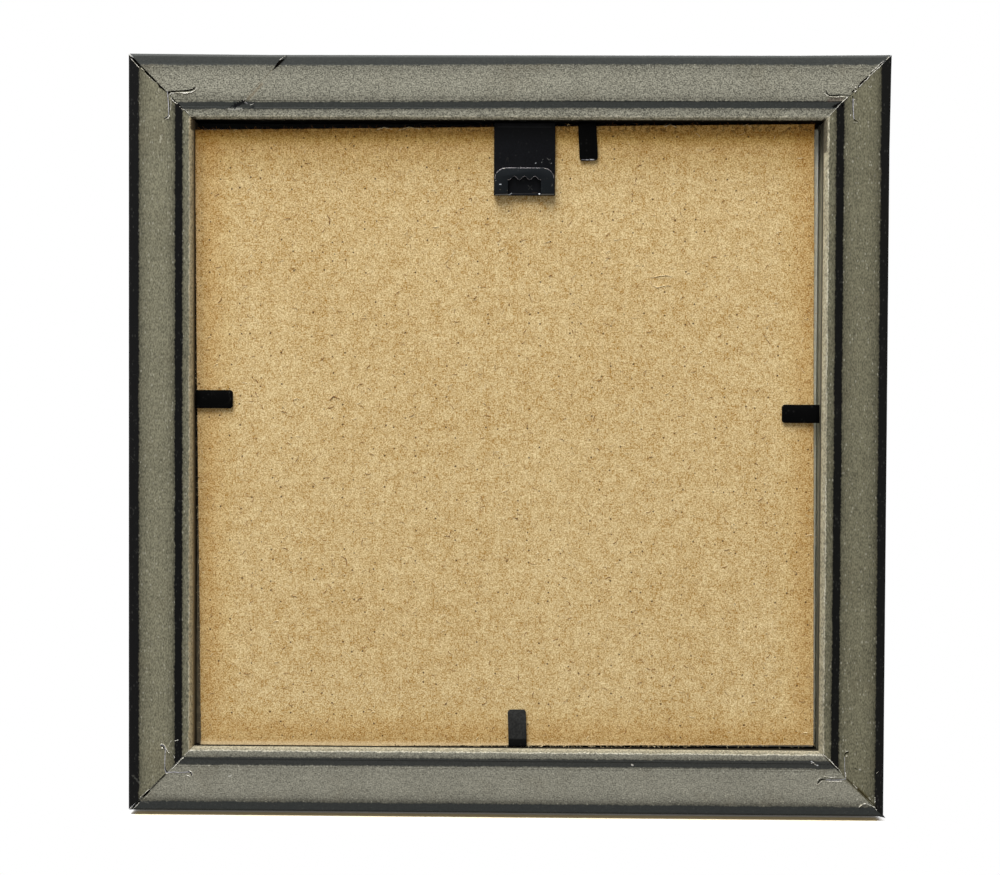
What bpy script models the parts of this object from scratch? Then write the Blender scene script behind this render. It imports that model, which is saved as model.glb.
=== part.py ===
import math

import bpy
import bmesh

# Photo frame hung upright: width along X, up is +Z, the back faces +Y and the front -Y.
# Left and right are as seen from behind, so the left side is the one at +X.
# All lengths are in metres. The origin is the centre of the frame's box.

# The picture that the frame is made for, and the room that it has in the rabbet
PICTURE_WIDTH = 0.200
PICTURE_HEIGHT = 0.200
RABBET_PLAY = 0.0022

# Moulding, across the rail from its outer side inwards
RAIL_WIDTH = 0.0209
LIP_WIDTH = 0.005
SIGHT_THICKNESS = 0.0022
FACE_RISE = 0.0031

# Relief of the moulding's back
OUTER_ROUND = 0.0008
LAND_WIDTH = 0.0029
LAND_DROP = 0.00025
CROWN_SLOPE = 0.0016
GROOVE_WIDTH = 0.00235
GROOVE_DEPTH = 0.0007
STRIP_WIDTH = 0.0022
ARRIS_WIDTH = 0.0017
ARRIS_DEPTH = 0.0013

# Face of the moulding, which the wall hides when it is seen from behind
SHOULDER_ROUND = 0.0028
CREST_WIDTH = 0.0050
BEAD_WIDTH = 0.0024
BEAD_RISE = 0.0011
QUIRK_DEPTH = 0.0004

# Joints between the rails, and clearances
MITRE_GAP = 0.0003
FIT_GAP = 0.0003
OVERRUN = 0.002
WELD_DISTANCE = 0.000001

# What the rabbet holds, from the lip to the back. The glass has the picture's size.
# Shares of the room beside it say how far a piece lies to one side, or is turned.
GLASS_THICKNESS = 0.002
GLASS_SEAM = 0.0002
GLASS_SIDE_SHARE = 0.36
SHEET_TRIM = 0.0005
SHEET_THICKNESS = 0.0004
BOARD_TRIM = 0.0002
BOARD_THICKNESS = 0.0025
BOARD_EDGE = 0.00025
BOARD_RECESS = 0.0039
BOARD_SIDE_SHARE = 0.12
BOARD_SKEW_SHARE = 0.6

# Corner wedges
NAIL_INSET_SHARE = 0.584
NAIL_LEG = 0.0078
NAIL_THICKNESS = 0.0004
NAIL_CURL_ROOM = 0.0004
NAIL_BEND_ROOM = 0.0003
NAIL_HEIGHT = 0.007
NAIL_SINK = 0.0003

# Flexible points that hold the board
TAB_WIDTH = 0.0059
TAB_THICKNESS = 0.0004
TAB_SHANK = 0.0036
TAB_POINT = 0.0010
TAB_CORNER = 0.0010
TAB_CREASE = 0.0030
TAB_DROP = 0.00025
TAB_ROOT_CLEARANCE = 0.0003
TAB_FROM_HANGER = 0.00726

# Hanger: a strap from the top rail, folded back over its own end
HANGER_PLACE = 0.0054
HANGER_WIDTH = 0.0197
HANGER_REACH = 0.0242
HANGER_THICKNESS = 0.0005
HANGER_SHANK = 0.0055
HANGER_POINT = 0.0018
HANGER_NOTCH = 0.0026
HANGER_PRONG_SHARE = 0.5
HANGER_CREASE = 0.0024
HANGER_DROP = 0.00045
FOLD_ROOM = 0.00045
FLAP_HEIGHT = 0.0090
FLAP_BRIDGE = 0.00275
FLAP_INSET = 0.0003
FLAP_CORNER = 0.0036
TOOTH_PITCH = 0.0033
TOOTH_COUNT = 3
TOOTH_HEIGHT = 0.0012
WINDOW_MARGIN = 0.00035

# Facets of the round stretches
ARC_STEPS = 8
BEND_STEPS = 10
TOOTH_STEPS = 8

# Sizes and places worked out from the sizes above. Depths run from the back plane to the front.
OPENING_WIDTH = PICTURE_WIDTH + RABBET_PLAY
OPENING_HEIGHT = PICTURE_HEIGHT + RABBET_PLAY
FRAME_WIDTH = OPENING_WIDTH + RAIL_WIDTH * 2
FRAME_HEIGHT = OPENING_HEIGHT + RAIL_WIDTH * 2
GROOVE_START = RAIL_WIDTH - ARRIS_WIDTH - STRIP_WIDTH - GROOVE_WIDTH
BOARD_DEPTH = BOARD_RECESS + BOARD_THICKNESS / 2
SHEET_DEPTH = BOARD_DEPTH + BOARD_THICKNESS / 2 + FIT_GAP + SHEET_THICKNESS / 2
GLASS_DEPTH = SHEET_DEPTH + SHEET_THICKNESS / 2 + FIT_GAP + GLASS_THICKNESS / 2
RABBET_DEPTH = GLASS_DEPTH + GLASS_THICKNESS / 2 + FIT_GAP
FRAME_DEPTH = RABBET_DEPTH + SIGHT_THICKNESS + FACE_RISE
BACK_Y = FRAME_DEPTH / 2
TAB_LEVEL = BOARD_RECESS - FIT_GAP - TAB_THICKNESS / 2 - TAB_DROP
HANGER_LEVEL = BOARD_RECESS - FIT_GAP - HANGER_THICKNESS / 2 - HANGER_DROP
SHEET_WIDTH = PICTURE_WIDTH - SHEET_TRIM
SHEET_HEIGHT = PICTURE_HEIGHT - SHEET_TRIM
BOARD_WIDTH = PICTURE_WIDTH - BOARD_TRIM
BOARD_HEIGHT = PICTURE_HEIGHT - BOARD_TRIM
BOARD_PLAY = RABBET_PLAY + BOARD_TRIM
BOARD_TURN = math.atan(BOARD_PLAY * BOARD_SKEW_SHARE / max(BOARD_WIDTH, BOARD_HEIGHT))
GLASS_SHIFT = -GLASS_SIDE_SHARE * RABBET_PLAY / 2
BOARD_SHIFT = -BOARD_SIDE_SHARE * BOARD_PLAY * (1 - BOARD_SKEW_SHARE) / 2
NAIL_INSET = RAIL_WIDTH * NAIL_INSET_SHARE
NAIL_CURL = NAIL_THICKNESS / 2 + FIT_GAP + NAIL_CURL_ROOM
NAIL_BEND = NAIL_THICKNESS / 2 + FIT_GAP + NAIL_BEND_ROOM
FOLD_RADIUS = FOLD_ROOM + HANGER_THICKNESS / 2
WINDOW_HEIGHT = FLAP_HEIGHT - FLAP_BRIDGE - TOOTH_HEIGHT - FOLD_RADIUS - HANGER_THICKNESS / 2

# Each tab's place along its rail, and how far it reaches over the board
TOP_TAB_PLACE = HANGER_PLACE + HANGER_WIDTH / 2 + TAB_FROM_HANGER + TAB_WIDTH / 2
TABS = {
    "left": {"place": 0.01135, "reach": 0.0124, "lean": 0.0},
    "right": {"place": -0.0075, "reach": 0.0124, "lean": 0.0},
    "top": {"place": TOP_TAB_PLACE, "reach": 0.0125, "lean": math.radians(3.0)},
    "bottom": {"place": -0.0041, "reach": 0.0123, "lean": math.radians(1.7)},
}

# Each side is drawn as the bottom one and turned about Y: its run, its distance from the
# centre, and the corner at the end of its run
SIDES = {
    "bottom": {"turn": 0.0, "run": FRAME_WIDTH, "across": FRAME_HEIGHT, "corner": "bottom_left"},
    "left": {"turn": -math.pi / 2, "run": FRAME_HEIGHT, "across": FRAME_WIDTH, "corner": "top_left"},
    "top": {"turn": math.pi, "run": FRAME_WIDTH, "across": FRAME_HEIGHT, "corner": "top_right"},
    "right": {"turn": math.pi / 2, "run": FRAME_HEIGHT, "across": FRAME_WIDTH, "corner": "bottom_right"},
}
NEXT_SIDE = {"bottom": "left", "left": "top", "top": "right", "right": "bottom"}

# Turns that lay a flat drawing down: a cross-section along the rail, or a plan across the depth
LAY_SECTION = (0.0, -math.pi / 2, math.pi)
LAY_PLAN = (math.pi / 2, 0.0, 0.0)


def clear_scene():
    for old in list(bpy.data.objects):
        bpy.data.objects.remove(old, do_unlink=True)


def make_collection(name):
    group = bpy.data.collections.new(name)
    bpy.context.scene.collection.children.link(group)
    return group


def make_material(name, colour, roughness, metallic=0.0, transmission=0.0):
    material = bpy.data.materials.new(name)
    material.use_nodes = True
    shader = material.node_tree.nodes["Principled BSDF"]
    shader.inputs["Base Color"].default_value = (*colour, 1.0)
    shader.inputs["Roughness"].default_value = roughness
    shader.inputs["Metallic"].default_value = metallic
    shader.inputs["Transmission Weight"].default_value = transmission
    material.diffuse_color = (*colour, 1.0)
    return material


def arc(centre, radii, start, end, steps):
    """Points of an elliptical arc, start and end angles in degrees."""
    points = []
    for step in range(steps + 1):
        angle = math.radians(start + (end - start) * step / steps)
        points.append((centre[0] + radii[0] * math.cos(angle), centre[1] + radii[1] * math.sin(angle)))
    return points


def ease(start, end, steps):
    """Points of a soft step between two places, level at both ends."""
    points = []
    for step in range(steps + 1):
        share = step / steps
        lift = (1 - math.cos(math.pi * share)) / 2
        points.append((start[0] + (end[0] - start[0]) * share, start[1] + (end[1] - start[1]) * lift))
    return points


def curve_mesh(name, splines, half_depth, closed):
    """A flat drawing drawn out to both sides, as a mesh: filled if its splines are closed."""
    data = bpy.data.curves.new(name, "CURVE")
    data.dimensions = "2D"
    data.fill_mode = "BOTH" if closed else "NONE"
    data.extrude = half_depth
    for points in splines:
        spline = data.splines.new("POLY")
        spline.points.add(len(points) - 1)
        for slot, (x, y) in zip(spline.points, points):
            slot.co = (x, y, 0.0, 1.0)
        spline.use_cyclic_u = closed
    drawing = bpy.data.objects.new(name, data)
    bpy.context.scene.collection.objects.link(drawing)
    graph = bpy.context.evaluated_depsgraph_get()
    mesh = bpy.data.meshes.new_from_object(drawing.evaluated_get(graph))
    bpy.data.objects.remove(drawing, do_unlink=True)
    bpy.data.curves.remove(data)
    weld(mesh)
    return mesh


def weld(mesh):
    """Closes the seams between a drawing's caps and its walls."""
    work = bmesh.new()
    work.from_mesh(mesh)
    bmesh.ops.remove_doubles(work, verts=work.verts, dist=WELD_DISTANCE)
    bmesh.ops.recalc_face_normals(work, faces=work.faces)
    work.to_mesh(mesh)
    work.free()
    mesh.shade_flat()


def add_object(name, mesh, group, parent, location, rotation=(0.0, 0.0, 0.0)):
    thing = bpy.data.objects.new(name, mesh)
    mesh.name = name
    group.objects.link(thing)
    thing.parent = parent
    thing.location = location
    thing.rotation_euler = rotation
    return thing


def add_part(name, mesh, material, parent, location, rotation=(0.0, 0.0, 0.0)):
    part = add_object(name, mesh, parts, parent, location, rotation)
    mesh.materials.append(material)
    return part


def add_cutter(name, mesh, parent, location, rotation=(0.0, 0.0, 0.0)):
    cutter = add_object(name, mesh, cutters, parent, location, rotation)
    cutter.hide_render = True
    cutter.display_type = "WIRE"
    return cutter


def combine(part, cutter, operation):
    boolean = part.modifiers.new(cutter.name, "BOOLEAN")
    boolean.object = cutter
    boolean.operation = operation
    boolean.solver = "EXACT"


def thicken(part, thickness):
    wall = part.modifiers.new("wall", "SOLIDIFY")
    wall.thickness = thickness
    wall.offset = 0.0
    wall.use_even_offset = True


def soften(part, width, segments):
    edge = part.modifiers.new("edge", "BEVEL")
    edge.width = width
    edge.segments = segments
    edge.limit_method = "ANGLE"


def add_empty(name, parent, location, rotation=(0.0, 0.0, 0.0)):
    empty = bpy.data.objects.new(name, None)
    parts.objects.link(empty)
    empty.parent = parent
    empty.location = location
    empty.rotation_euler = rotation
    empty.empty_display_size = RAIL_WIDTH
    return empty


def box_mesh(name, size):
    """A box of the given size, centred, from a unit cube."""
    mesh = bpy.data.meshes.new(name)
    work = bmesh.new()
    bmesh.ops.create_cube(work, size=1.0)
    bmesh.ops.scale(work, vec=size, verts=work.verts)
    work.to_mesh(mesh)
    work.free()
    return mesh


def moulding_section():
    """The rail's cross-section: across the rail, then the depth from the back plane to the front."""
    crown_start = LAND_WIDTH
    crown_end = GROOVE_START
    strip_start = GROOVE_START + GROOVE_WIDTH
    arris_start = RAIL_WIDTH - ARRIS_WIDTH
    sight = RAIL_WIDTH + LIP_WIDTH
    sight_front = RABBET_DEPTH + SIGHT_THICKNESS
    bead_start = sight - BEAD_WIDTH
    bead_middle = sight - BEAD_WIDTH / 2
    scoop_end = SHOULDER_ROUND + CREST_WIDTH
    scoop_floor = sight_front - QUIRK_DEPTH
    points = []
    points += arc((OUTER_ROUND, LAND_DROP + OUTER_ROUND), (OUTER_ROUND, OUTER_ROUND), 180, 270, ARC_STEPS)
    points += ease((crown_start, LAND_DROP), (crown_start + CROWN_SLOPE, 0.0), ARC_STEPS)
    points += ease((crown_end - CROWN_SLOPE, 0.0), (crown_end, LAND_DROP), ARC_STEPS)
    groove_middle = GROOVE_START + GROOVE_WIDTH / 2
    points += arc((groove_middle, LAND_DROP), (GROOVE_WIDTH / 2, GROOVE_DEPTH), 180, 0, ARC_STEPS)[1:-1]
    points += [(strip_start, LAND_DROP)]
    arris_centre = (arris_start, LAND_DROP + ARRIS_DEPTH)
    points += arc(arris_centre, (ARRIS_WIDTH, ARRIS_DEPTH), -90, 0, ARC_STEPS)
    points += [(RAIL_WIDTH, RABBET_DEPTH), (sight, RABBET_DEPTH), (sight, sight_front)]
    points += arc((bead_middle, sight_front), (BEAD_WIDTH / 2, BEAD_RISE), 0, 180, ARC_STEPS)[1:-1]
    points += [(bead_start, scoop_floor)]
    scoop_centre = (bead_start, FRAME_DEPTH)
    scoop_radii = (bead_start - scoop_end, FRAME_DEPTH - scoop_floor)
    points += arc(scoop_centre, scoop_radii, 270, 180, ARC_STEPS)[1:]
    shoulder_centre = (SHOULDER_ROUND, FRAME_DEPTH - SHOULDER_ROUND)
    points += arc(shoulder_centre, (SHOULDER_ROUND, SHOULDER_ROUND), 90, 180, ARC_STEPS)
    return points


def mitred_plan(half_run):
    """What the two mitres leave of a rail, seen from behind: along the rail, then inwards."""
    set_back = MITRE_GAP / math.sqrt(2)
    outer_half = half_run - set_back + OVERRUN
    inner = RAIL_WIDTH + LIP_WIDTH + OVERRUN
    inner_half = half_run - set_back - inner
    return [(-outer_half, -OVERRUN), (outer_half, -OVERRUN), (inner_half, inner), (-inner_half, inner)]


def nail_path(half_run, grow):
    """A corner wedge from curl to curl, seen from behind, at the end of a rail's run."""
    apex_run = half_run - NAIL_INSET
    leg_end_run = apex_run - NAIL_LEG
    leg_end_inset = NAIL_INSET + NAIL_LEG
    first_curl = arc((leg_end_run, NAIL_INSET - NAIL_CURL), (NAIL_CURL, NAIL_CURL), 180, 90, ARC_STEPS)
    bend_centre = (apex_run - NAIL_BEND, NAIL_INSET + NAIL_BEND)
    bend = arc(bend_centre, (NAIL_BEND, NAIL_BEND), -90, 0, ARC_STEPS)
    last_curl = arc((apex_run + NAIL_CURL, leg_end_inset), (NAIL_CURL, NAIL_CURL), 180, 90, ARC_STEPS)
    start = (leg_end_run - NAIL_CURL, NAIL_INSET - NAIL_CURL - grow)
    end = (apex_run + NAIL_CURL + grow, leg_end_inset + NAIL_CURL)
    path = first_curl + bend + last_curl
    if grow:
        path = [start] + path + [end]
    return path


def tab_shank_plan(grow):
    """The end of a tab inside the rail: square at the wall, with one shallow point."""
    half = TAB_WIDTH / 2 + grow
    tip = RAIL_WIDTH - TAB_SHANK - grow
    mouth = RAIL_WIDTH + (OVERRUN if grow else 0.0)
    return [(-half, mouth), (-half, tip + TAB_POINT), (0.0, tip), (half, tip + TAB_POINT), (half, mouth)]


def hanger_shank_plan(grow):
    """The end of the hanger inside the rail: square at the wall, with two prongs."""
    half = HANGER_WIDTH / 2 + grow
    tip = RAIL_WIDTH - HANGER_SHANK - grow
    prong = half * HANGER_PRONG_SHARE
    mouth = RAIL_WIDTH + (OVERRUN if grow else 0.0)
    left = [(-half, mouth), (-half, tip + HANGER_POINT), (-prong, tip), (0.0, tip + HANGER_NOTCH)]
    return left + [(prong, tip), (half, tip + HANGER_POINT), (half, mouth)]


def rounded_end(width, start, end, corner):
    """A strip seen from behind, from a square start to an end with two rounded corners."""
    half = width / 2
    points = [(-half, start), (half, start)]
    points += arc((half - corner, end - corner), (corner, corner), 0, 90, ARC_STEPS)
    points += arc((corner - half, end - corner), (corner, corner), 90, 180, ARC_STEPS)
    return points


def window_plan():
    """The hanger's window with its scalloped upper edge: across, then down from the teeth."""
    half = TOOTH_PITCH * TOOTH_COUNT / 2
    bottom = WINDOW_HEIGHT + FOLD_RADIUS + HANGER_THICKNESS + OVERRUN
    points = [(half + WINDOW_MARGIN, bottom), (half + WINDOW_MARGIN, 0.0)]
    steps = TOOTH_COUNT * TOOTH_STEPS
    for step in range(steps + 1):
        share = step / steps
        wave = (1 - math.cos(2 * math.pi * TOOTH_COUNT * share)) / 2
        points.append((half - half * 2 * share, -TOOTH_HEIGHT * wave))
    points += [(-half - WINDOW_MARGIN, 0.0), (-half - WINDOW_MARGIN, bottom)]
    return points


def build_rail(side):
    facts = SIDES[side]
    half_run = facts["run"] / 2
    edge = -facts["across"] / 2
    section = curve_mesh("rail_" + side, [moulding_section()], half_run, True)
    rail = add_part("rail_" + side, section, moulding_paint, pivots[side], (0.0, BACK_Y, edge), LAY_SECTION)
    plan = curve_mesh("mitres_" + side, [mitred_plan(half_run)], FRAME_DEPTH / 2 + OVERRUN, True)
    combine(rail, add_cutter("mitres_" + side, plan, pivots[side], (0.0, 0.0, edge), LAY_PLAN), "INTERSECT")
    return rail


def build_nail(side):
    """The wedge at the end of a side's run, and the slots that it makes in both rails."""
    facts = SIDES[side]
    edge = -facts["across"] / 2
    corner = facts["corner"]
    middle = BACK_Y - NAIL_SINK - NAIL_HEIGHT / 2
    strip = curve_mesh("v_nail_" + corner, [nail_path(facts["run"] / 2, 0.0)], NAIL_HEIGHT / 2, False)
    nail = add_part("v_nail_" + corner, strip, bright_steel, pivots[side], (0.0, middle, edge), LAY_PLAN)
    thicken(nail, NAIL_THICKNESS)
    path = nail_path(facts["run"] / 2, FIT_GAP)
    slot_half = (NAIL_HEIGHT + FIT_GAP + NAIL_SINK + OVERRUN) / 2
    slot_middle = BACK_Y - NAIL_SINK - NAIL_HEIGHT - FIT_GAP + slot_half
    slot_strip = curve_mesh("slot_" + corner, [path], slot_half, False)
    slot = add_cutter("slot_" + corner, slot_strip, pivots[side], (0.0, slot_middle, edge), LAY_PLAN)
    thicken(slot, NAIL_THICKNESS + FIT_GAP * 2)
    combine(rails[side], slot, "DIFFERENCE")
    combine(rails[NEXT_SIDE[side]], slot, "DIFFERENCE")


def build_shank(name, side, place, level, thickness, shank_plan):
    """The end of a strip inside the rail, and its slot."""
    edge = -SIDES[side]["across"] / 2
    where = (place, BACK_Y - level, edge)
    plan = curve_mesh(name, [shank_plan(0.0)], thickness / 2, True)
    add_part(name, plan, black_steel, pivots[side], where, LAY_PLAN)
    room = curve_mesh("slot_" + name, [shank_plan(FIT_GAP)], thickness / 2 + FIT_GAP, True)
    combine(rails[side], add_cutter("slot_" + name, room, pivots[side], where, LAY_PLAN), "DIFFERENCE")


def strip_mesh(name, path, width):
    """A bent strip seen from its side, drawn out to its width: inwards, then towards the board."""
    return curve_mesh(name, [path], width / 2, False)


def build_tab(side):
    facts = TABS[side]
    build_shank("tab_shank_" + side, side, facts["place"], TAB_LEVEL, TAB_THICKNESS, tab_shank_plan)
    axis_inset = TAB_ROOT_CLEARANCE + TAB_THICKNESS / 2
    wall = -SIDES[side]["across"] / 2 + RAIL_WIDTH
    pivot = add_empty("tab_axis_" + side, pivots[side], (facts["place"], BACK_Y - TAB_LEVEL, wall + axis_inset))
    root = TAB_ROOT_CLEARANCE - axis_inset
    end = facts["reach"] - axis_inset
    path = [(root, 0.0), (TAB_CREASE - axis_inset, 0.0), (end, TAB_DROP)]
    strip = strip_mesh("tab_" + side, path, TAB_WIDTH + OVERRUN)
    tab = add_part("tab_" + side, strip, black_steel, pivot, (0.0, 0.0, 0.0), LAY_SECTION)
    thicken(tab, TAB_THICKNESS)
    outline = curve_mesh("outline_tab_" + side, [rounded_end(TAB_WIDTH, root, end, TAB_CORNER)], OVERRUN, True)
    turn = (LAY_PLAN[0], facts["lean"], 0.0)
    combine(tab, add_cutter("outline_tab_" + side, outline, pivot, (0.0, 0.0, 0.0), turn), "INTERSECT")


def build_hanger():
    side = "top"
    build_shank("hanger_shank", side, HANGER_PLACE, HANGER_LEVEL, HANGER_THICKNESS, hanger_shank_plan)
    axis_inset = TAB_ROOT_CLEARANCE + HANGER_THICKNESS / 2
    wall = -SIDES[side]["across"] / 2 + RAIL_WIDTH
    pivot = add_empty("hanger_axis", pivots[side], (HANGER_PLACE, BACK_Y - HANGER_LEVEL, wall + axis_inset))
    root = TAB_ROOT_CLEARANCE - axis_inset
    end = HANGER_REACH - axis_inset
    fold = end - FOLD_RADIUS - HANGER_THICKNESS / 2
    fold_centre = (fold, HANGER_DROP - FOLD_RADIUS)
    flap_top = end - FLAP_HEIGHT
    path = [(root, 0.0), (HANGER_CREASE - axis_inset, 0.0)]
    path += arc(fold_centre, (FOLD_RADIUS, FOLD_RADIUS), 90, -90, BEND_STEPS)
    path += [(flap_top, HANGER_DROP - FOLD_RADIUS * 2)]
    strip = strip_mesh("hanger_strap", path, HANGER_WIDTH)
    strap = add_part("hanger_strap", strip, black_steel, pivot, (0.0, 0.0, 0.0), LAY_SECTION)
    thicken(strap, HANGER_THICKNESS)

    # The punches reach the flap and the outer half of the fold, and stop short of the strap
    punch_half = FOLD_RADIUS + OVERRUN / 2
    punch_y = FOLD_RADIUS - HANGER_DROP + punch_half
    flap = rounded_end(HANGER_WIDTH - FLAP_INSET * 2, -OVERRUN, FLAP_HEIGHT, FLAP_CORNER)
    half_scrap = HANGER_WIDTH / 2 + OVERRUN
    scrap_top = FLAP_HEIGHT + OVERRUN
    scrap = [(-half_scrap, -OVERRUN * 2), (half_scrap, -OVERRUN * 2), (half_scrap, scrap_top), (-half_scrap, scrap_top)]
    trim = curve_mesh("flap_trim", [scrap, flap], punch_half, True)
    upside_down = (LAY_PLAN[0], math.pi, 0.0)
    combine(strap, add_cutter("flap_trim", trim, pivot, (0.0, punch_y, end), upside_down), "DIFFERENCE")
    window = curve_mesh("flap_window", [window_plan()], punch_half, True)
    window_top = end - FOLD_RADIUS - HANGER_THICKNESS / 2 - WINDOW_HEIGHT
    combine(strap, add_cutter("flap_window", window, pivot, (0.0, punch_y, window_top), LAY_PLAN), "DIFFERENCE")


def build_glazing():
    """Glass, picture sheet and board, standing on the lower rabbet wall."""
    floor = -OPENING_HEIGHT / 2
    glass_z = floor + FIT_GAP + PICTURE_HEIGHT / 2
    glass_mesh = box_mesh("glass_pane", (PICTURE_WIDTH, GLASS_THICKNESS, PICTURE_HEIGHT))
    glass = add_part("glass_pane", glass_mesh, clear_glass, None, (GLASS_SHIFT, BACK_Y - GLASS_DEPTH, glass_z))
    soften(glass, GLASS_SEAM, 1)
    sheet_z = floor + FIT_GAP + SHEET_HEIGHT / 2
    sheet = box_mesh("picture_sheet", (SHEET_WIDTH, SHEET_THICKNESS, SHEET_HEIGHT))
    add_part("picture_sheet", sheet, white_paper, None, (GLASS_SHIFT, BACK_Y - SHEET_DEPTH, sheet_z))
    board_rise = BOARD_HEIGHT / 2 * math.cos(BOARD_TURN) + BOARD_WIDTH / 2 * math.sin(BOARD_TURN)
    board_mesh = box_mesh("backing_board", (BOARD_WIDTH, BOARD_THICKNESS, BOARD_HEIGHT))
    board_place = (BOARD_SHIFT, BACK_Y - BOARD_DEPTH, floor + FIT_GAP + board_rise)
    board = add_part("backing_board", board_mesh, fibreboard, None, board_place, (0.0, BOARD_TURN, 0.0))
    soften(board, BOARD_EDGE, 1)


clear_scene()
parts = make_collection("photo_frame")
cutters = make_collection("cutters")

moulding_paint = make_material("moulding_paint", (0.045, 0.045, 0.043), 0.5)
bright_steel = make_material("bright_steel", (0.42, 0.41, 0.39), 0.4, metallic=0.9)
black_steel = make_material("black_steel", (0.012, 0.012, 0.013), 0.4, metallic=0.3)
clear_glass = make_material("clear_glass", (0.9, 0.95, 0.93), 0.03, transmission=1.0)
white_paper = make_material("white_paper", (0.8, 0.8, 0.78), 0.85)
fibreboard = make_material("fibreboard", (0.54, 0.39, 0.18), 0.85)

pivots = {side: add_empty("side_" + side, None, (0.0, 0.0, 0.0), (0.0, SIDES[side]["turn"], 0.0))
          for side in SIDES}
rails = {side: build_rail(side) for side in SIDES}
for side in SIDES:
    build_nail(side)
for side in TABS:
    build_tab(side)
build_hanger()
build_glazing()
bpy.context.view_layer.update()
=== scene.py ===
import math

import bmesh
import bpy
from mathutils import Matrix, Vector, noise


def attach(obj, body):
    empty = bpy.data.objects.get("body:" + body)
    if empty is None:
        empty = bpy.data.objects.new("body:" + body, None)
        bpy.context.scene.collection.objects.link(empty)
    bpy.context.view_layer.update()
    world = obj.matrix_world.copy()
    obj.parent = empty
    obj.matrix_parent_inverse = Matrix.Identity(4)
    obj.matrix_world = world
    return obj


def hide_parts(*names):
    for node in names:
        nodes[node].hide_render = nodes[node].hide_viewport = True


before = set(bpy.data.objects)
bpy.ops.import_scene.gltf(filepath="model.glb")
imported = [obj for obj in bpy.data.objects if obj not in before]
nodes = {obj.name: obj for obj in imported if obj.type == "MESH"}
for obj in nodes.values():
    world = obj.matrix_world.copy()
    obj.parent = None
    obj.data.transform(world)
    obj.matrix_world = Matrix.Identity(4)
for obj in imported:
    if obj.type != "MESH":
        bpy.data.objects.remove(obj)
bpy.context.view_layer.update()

# Photo frame seen from behind. Metres; the back faces +Y, up is +Z, left (seen from behind) is +X.
scene = bpy.context.scene
print("frame loaded:", len(nodes), "CAD nodes")


# Node trees: a Value is one output of a tree, and sums of Values make the math nodes

class Value:
    def __init__(self, tree, socket):
        self.tree, self.socket = tree, socket

    def __add__(self, other):
        return self.calc("ADD", other)

    def __sub__(self, other):
        return self.calc("SUBTRACT", other)

    def __rsub__(self, other):
        return self.tree.calc("SUBTRACT", other, self)

    def __mul__(self, other):
        return self.calc("MULTIPLY", other)

    def __truediv__(self, other):
        return self.calc("DIVIDE", other)

    def __rtruediv__(self, other):
        return self.tree.calc("DIVIDE", other, self)

    def __pow__(self, power):
        return self.calc("POWER", power)

    def __abs__(self):
        return self.calc("ABSOLUTE")

    def calc(self, operation, *others):
        return self.tree.calc(operation, self, *others)

    def also(self, output):
        # another output of the same node
        return Value(self.tree, self.socket.node.outputs[output])

    def scaled(self, share):
        values = {0: self, "Scale": share}
        return self.tree.put("ShaderNodeVectorMath", values, operation="SCALE")

    def ease(self, low, high, toLow=0.0, toHigh=1.0):
        values = {"Value": self, "From Min": low, "From Max": high, "To Min": toLow, "To Max": toHigh}
        return self.tree.put("ShaderNodeMapRange", values, "Result", interpolation_type="SMOOTHSTEP")

    def noise(self, scale, detail=2.0, roughness=0.5, distortion=0.0):
        values = {"Vector": self, "Scale": scale, "Detail": detail, "Roughness": roughness, "Distortion": distortion}
        return self.tree.put("ShaderNodeTexNoise", values)

    def mix(self, factor, other):
        return self.tree.blend(factor, self, other)

    def times(self, other):
        return self.tree.blend(1.0, self, other, "MULTIPLY")

    def ramp(self, stops):
        # a smooth run of tones between places given in millimetres
        low, high = stops[0][0], stops[-1][0]
        tones = self.tree.put("ShaderNodeValToRGB", {0: (self * 1000.0 - low) / (high - low)})
        elements = tones.socket.node.color_ramp.elements
        for number, (place, tone) in enumerate(stops):
            edge = number in (0, len(stops) - 1)
            element = elements[0 if number == 0 else -1] if edge else elements.new((place - low) / (high - low))
            element.color = (*tone, 1.0) if isinstance(tone, tuple) else (tone, tone, tone, 1.0)
        return tones


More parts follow.
